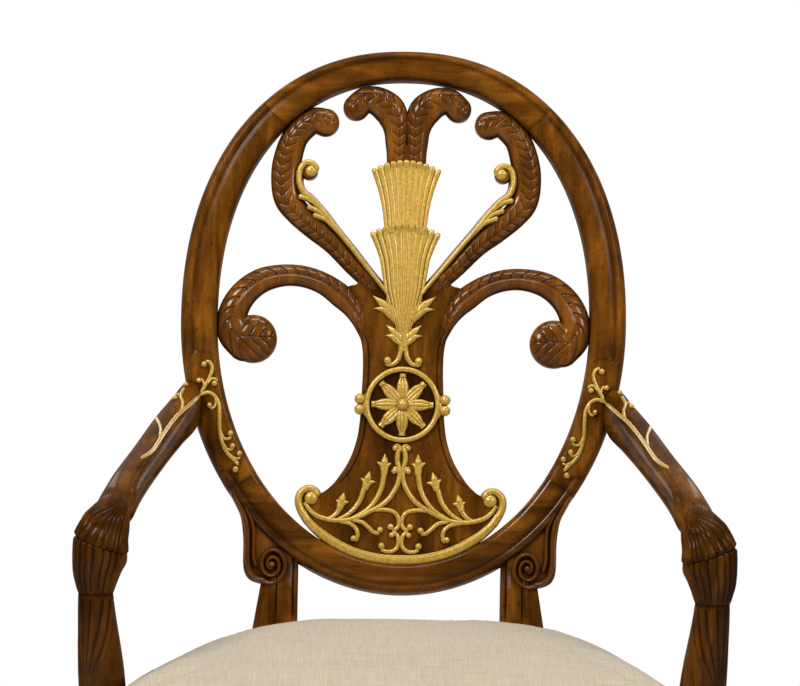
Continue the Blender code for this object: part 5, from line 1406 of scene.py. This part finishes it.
# %% Creases and hem
def pull(spot):
    """How deep a crease runs at a place, from a front corner towards the middle of the seat."""
    start, end = Vector((0.250, -0.251)), Vector((0.158, -0.140))
    p = Vector((abs(spot.x), spot.y)) - start
    way = (end - start).normalized()
    along, off = p.dot(way) / (end - start).length, p.x * way.y - p.y * way.x
    fade = ease((along + 0.1) / 0.15) * ease((1.05 - along) / 0.7)
    return fade * (0.0085 * math.exp(-(off / 0.008) ** 2) - 0.0018 * math.exp(-((off - 0.024) / 0.012) ** 2))


form = bmesh.new()
form.from_mesh(skin.data)
for vert, place in zip(form.verts, after):
    vert.co = place
bmesh.ops.subdivide_edges(form, edges=form.edges[:], cuts=1, use_grid_fill=True, smooth=0.6)
for vert in form.verts:
    if vert.co.z > RIM_Z:
        vert.co.z -= pull(vert.co)
hem = [edge for edge in form.edges if edge.is_boundary]
for inward, lift in ((0.0022, 0.0), (0.0, 0.062), (0.012, 0.0635)):
    grown = bmesh.ops.extrude_edge_only(form, edges=hem)["geom"]
    hem = [item for item in grown if isinstance(item, bmesh.types.BMEdge) and item.is_boundary]
    for vert in {v for edge in hem for v in edge.verts}:
        vert.co.xy = vert.co.xy - (vert.co.xy - MIDDLE).normalized() * inward
        vert.co.z = RAIL_BOTTOM + lift
bmesh.ops.edgeloop_fill(form, edges=hem)
bmesh.ops.triangulate(form, faces=[face for face in form.faces if len(face.verts) > 4])
seat = piece("linen_seat", form, linen, "linen", "linen_cover", "seat_padding", crease=70)
bpy.data.objects.remove(skin)

# %% [markdown]
# ## Fitting the seat round the posts
# The back corners of the seat are cut out to fit the rear posts. A Boolean cut does that best, but it can
# fail on a mesh with slivers, so it is tried with one solver after another until its result holds.

# %% The fitted seat
NOTCH = [(-0.0989, -0.0170), (-0.1260, -0.0170), (-0.1487, -0.0026), (-0.1487, 0.0300), (-0.0989, 0.0300)]
form = new_form()
for side in (1, -1):
    sweep(form, [[(Vector((side * x, rake_y(z) + y, z)), 0) for x, y in NOTCH] for z in (0.36, 0.52)])
bmesh.ops.recalc_face_normals(form, faces=form.faces)
notch = bare_object("post_notch", form)
fit_posts = seat.modifiers.new("fit_round_the_posts", "BOOLEAN")
fit_posts.object, fit_posts.operation = notch, "DIFFERENCE"
for solver in ("MANIFOLD", "EXACT", "FAST"):
    fit_posts.solver = solver
    graph = bpy.context.evaluated_depsgraph_get()
    fitted = bpy.data.meshes.new_from_object(seat.evaluated_get(graph))
    if len(fitted.polygons) > 0.9 * len(seat.data.polygons):
        break
else:
    fitted = seat.data.copy()
seat.modifiers.clear()
old_mesh, seat.data = seat.data, fitted
fitted.name = "linen_seat_fitted"
bpy.data.meshes.remove(old_mesh)
bpy.data.objects.remove(notch)
print("seat", len(fitted.polygons), "faces after fitting it round the posts with the", solver, "solver")

# %% [markdown]
# ## Webbing
# Three jute straps cross three others under the padding, over and under like a mat. Each is swept flat
# along a gentle wave, so that one passes over the other where they cross.


# %% Webbing
STRAP_HALF, GAP_X, GAP_Y = 0.0225, 0.070, 0.100
WEB_Y = MIDDLE.y - 0.020


def strap(form, start, end, phase):
    """A flat strap that weaves over and under its neighbours."""
    way = (Vector(end) - Vector(start)).normalized()
    side = Vector((-way.y, way.x)) * STRAP_HALF
    rings = []
    for k in range(61):
        spot = Vector(start).lerp(Vector(end), k / 60)
        crossing = spot.x / GAP_X if abs(way.x) > 0.5 else (spot.y - WEB_Y) / GAP_Y
        z = 0.4474 + phase * 0.00048 * math.cos(math.pi * crossing)
        rings.append([(Vector((*(spot + side * t), z + h)), 0) for t, h in
                      ((-1, 0), (-0.97, 0.0005), (0.97, 0.0005), (1, 0), (0.97, -0.0005), (-0.97, -0.0005))])
    sweep(form, rings)


form = new_form()
for k in (-1, 0, 1):
    x, y = GAP_X * k, WEB_Y + GAP_Y * k
    strap(form, (x, front_y(x) + 0.014), (x, SEAT_BACK - 0.012), -1 if k else 1)
    reach = side_x(y + STRAP_HALF) - 0.024
    strap(form, (-reach, y), (reach, y), 1 if k else -1)
piece("woven_webbing", form, jute, "webbing", "seat_webbing", crease=40)

# %% [markdown]
# ## Dust sheet
# A black sheet is tacked below the rails to catch the dust. It has the seat's own plan, a little smaller,
# so two outlines swept a short way make it.

# %% Dust sheet
form = new_form()
sheet_line = seat_line(0.009)
sweep(form, [[(Vector((*p, z)), 0) for p in sheet_line] for z in (0.3836, 0.3843)])
for face in form.faces:
    face.smooth = False
dust_area = max(face.calc_area() for face in form.faces)
bmesh.ops.triangulate(form, faces=[face for face in form.faces if len(face.verts) > 4])
dust = piece("dust_sheet", form, cambric, "cambric", "dust_cover", crease=30)
print("dust sheet of", round(dust_area, 3), "square metres")

# %% [markdown]
# ## What stays as the joiner made it
# Dowels, rails, blocks, bolts and glides keep their own solids; they only need their finishes.

# %% Finishes for the joiner's pieces
for name, node in nodes.items():
    for part, material in (("dowel", beech), ("rail", beech), ("block", beech), ("bolt", steel),
                           ("glide", nylon)):
        if part in name and not node.hide_render:
            node.data.materials.clear()
            node.data.materials.append(material)
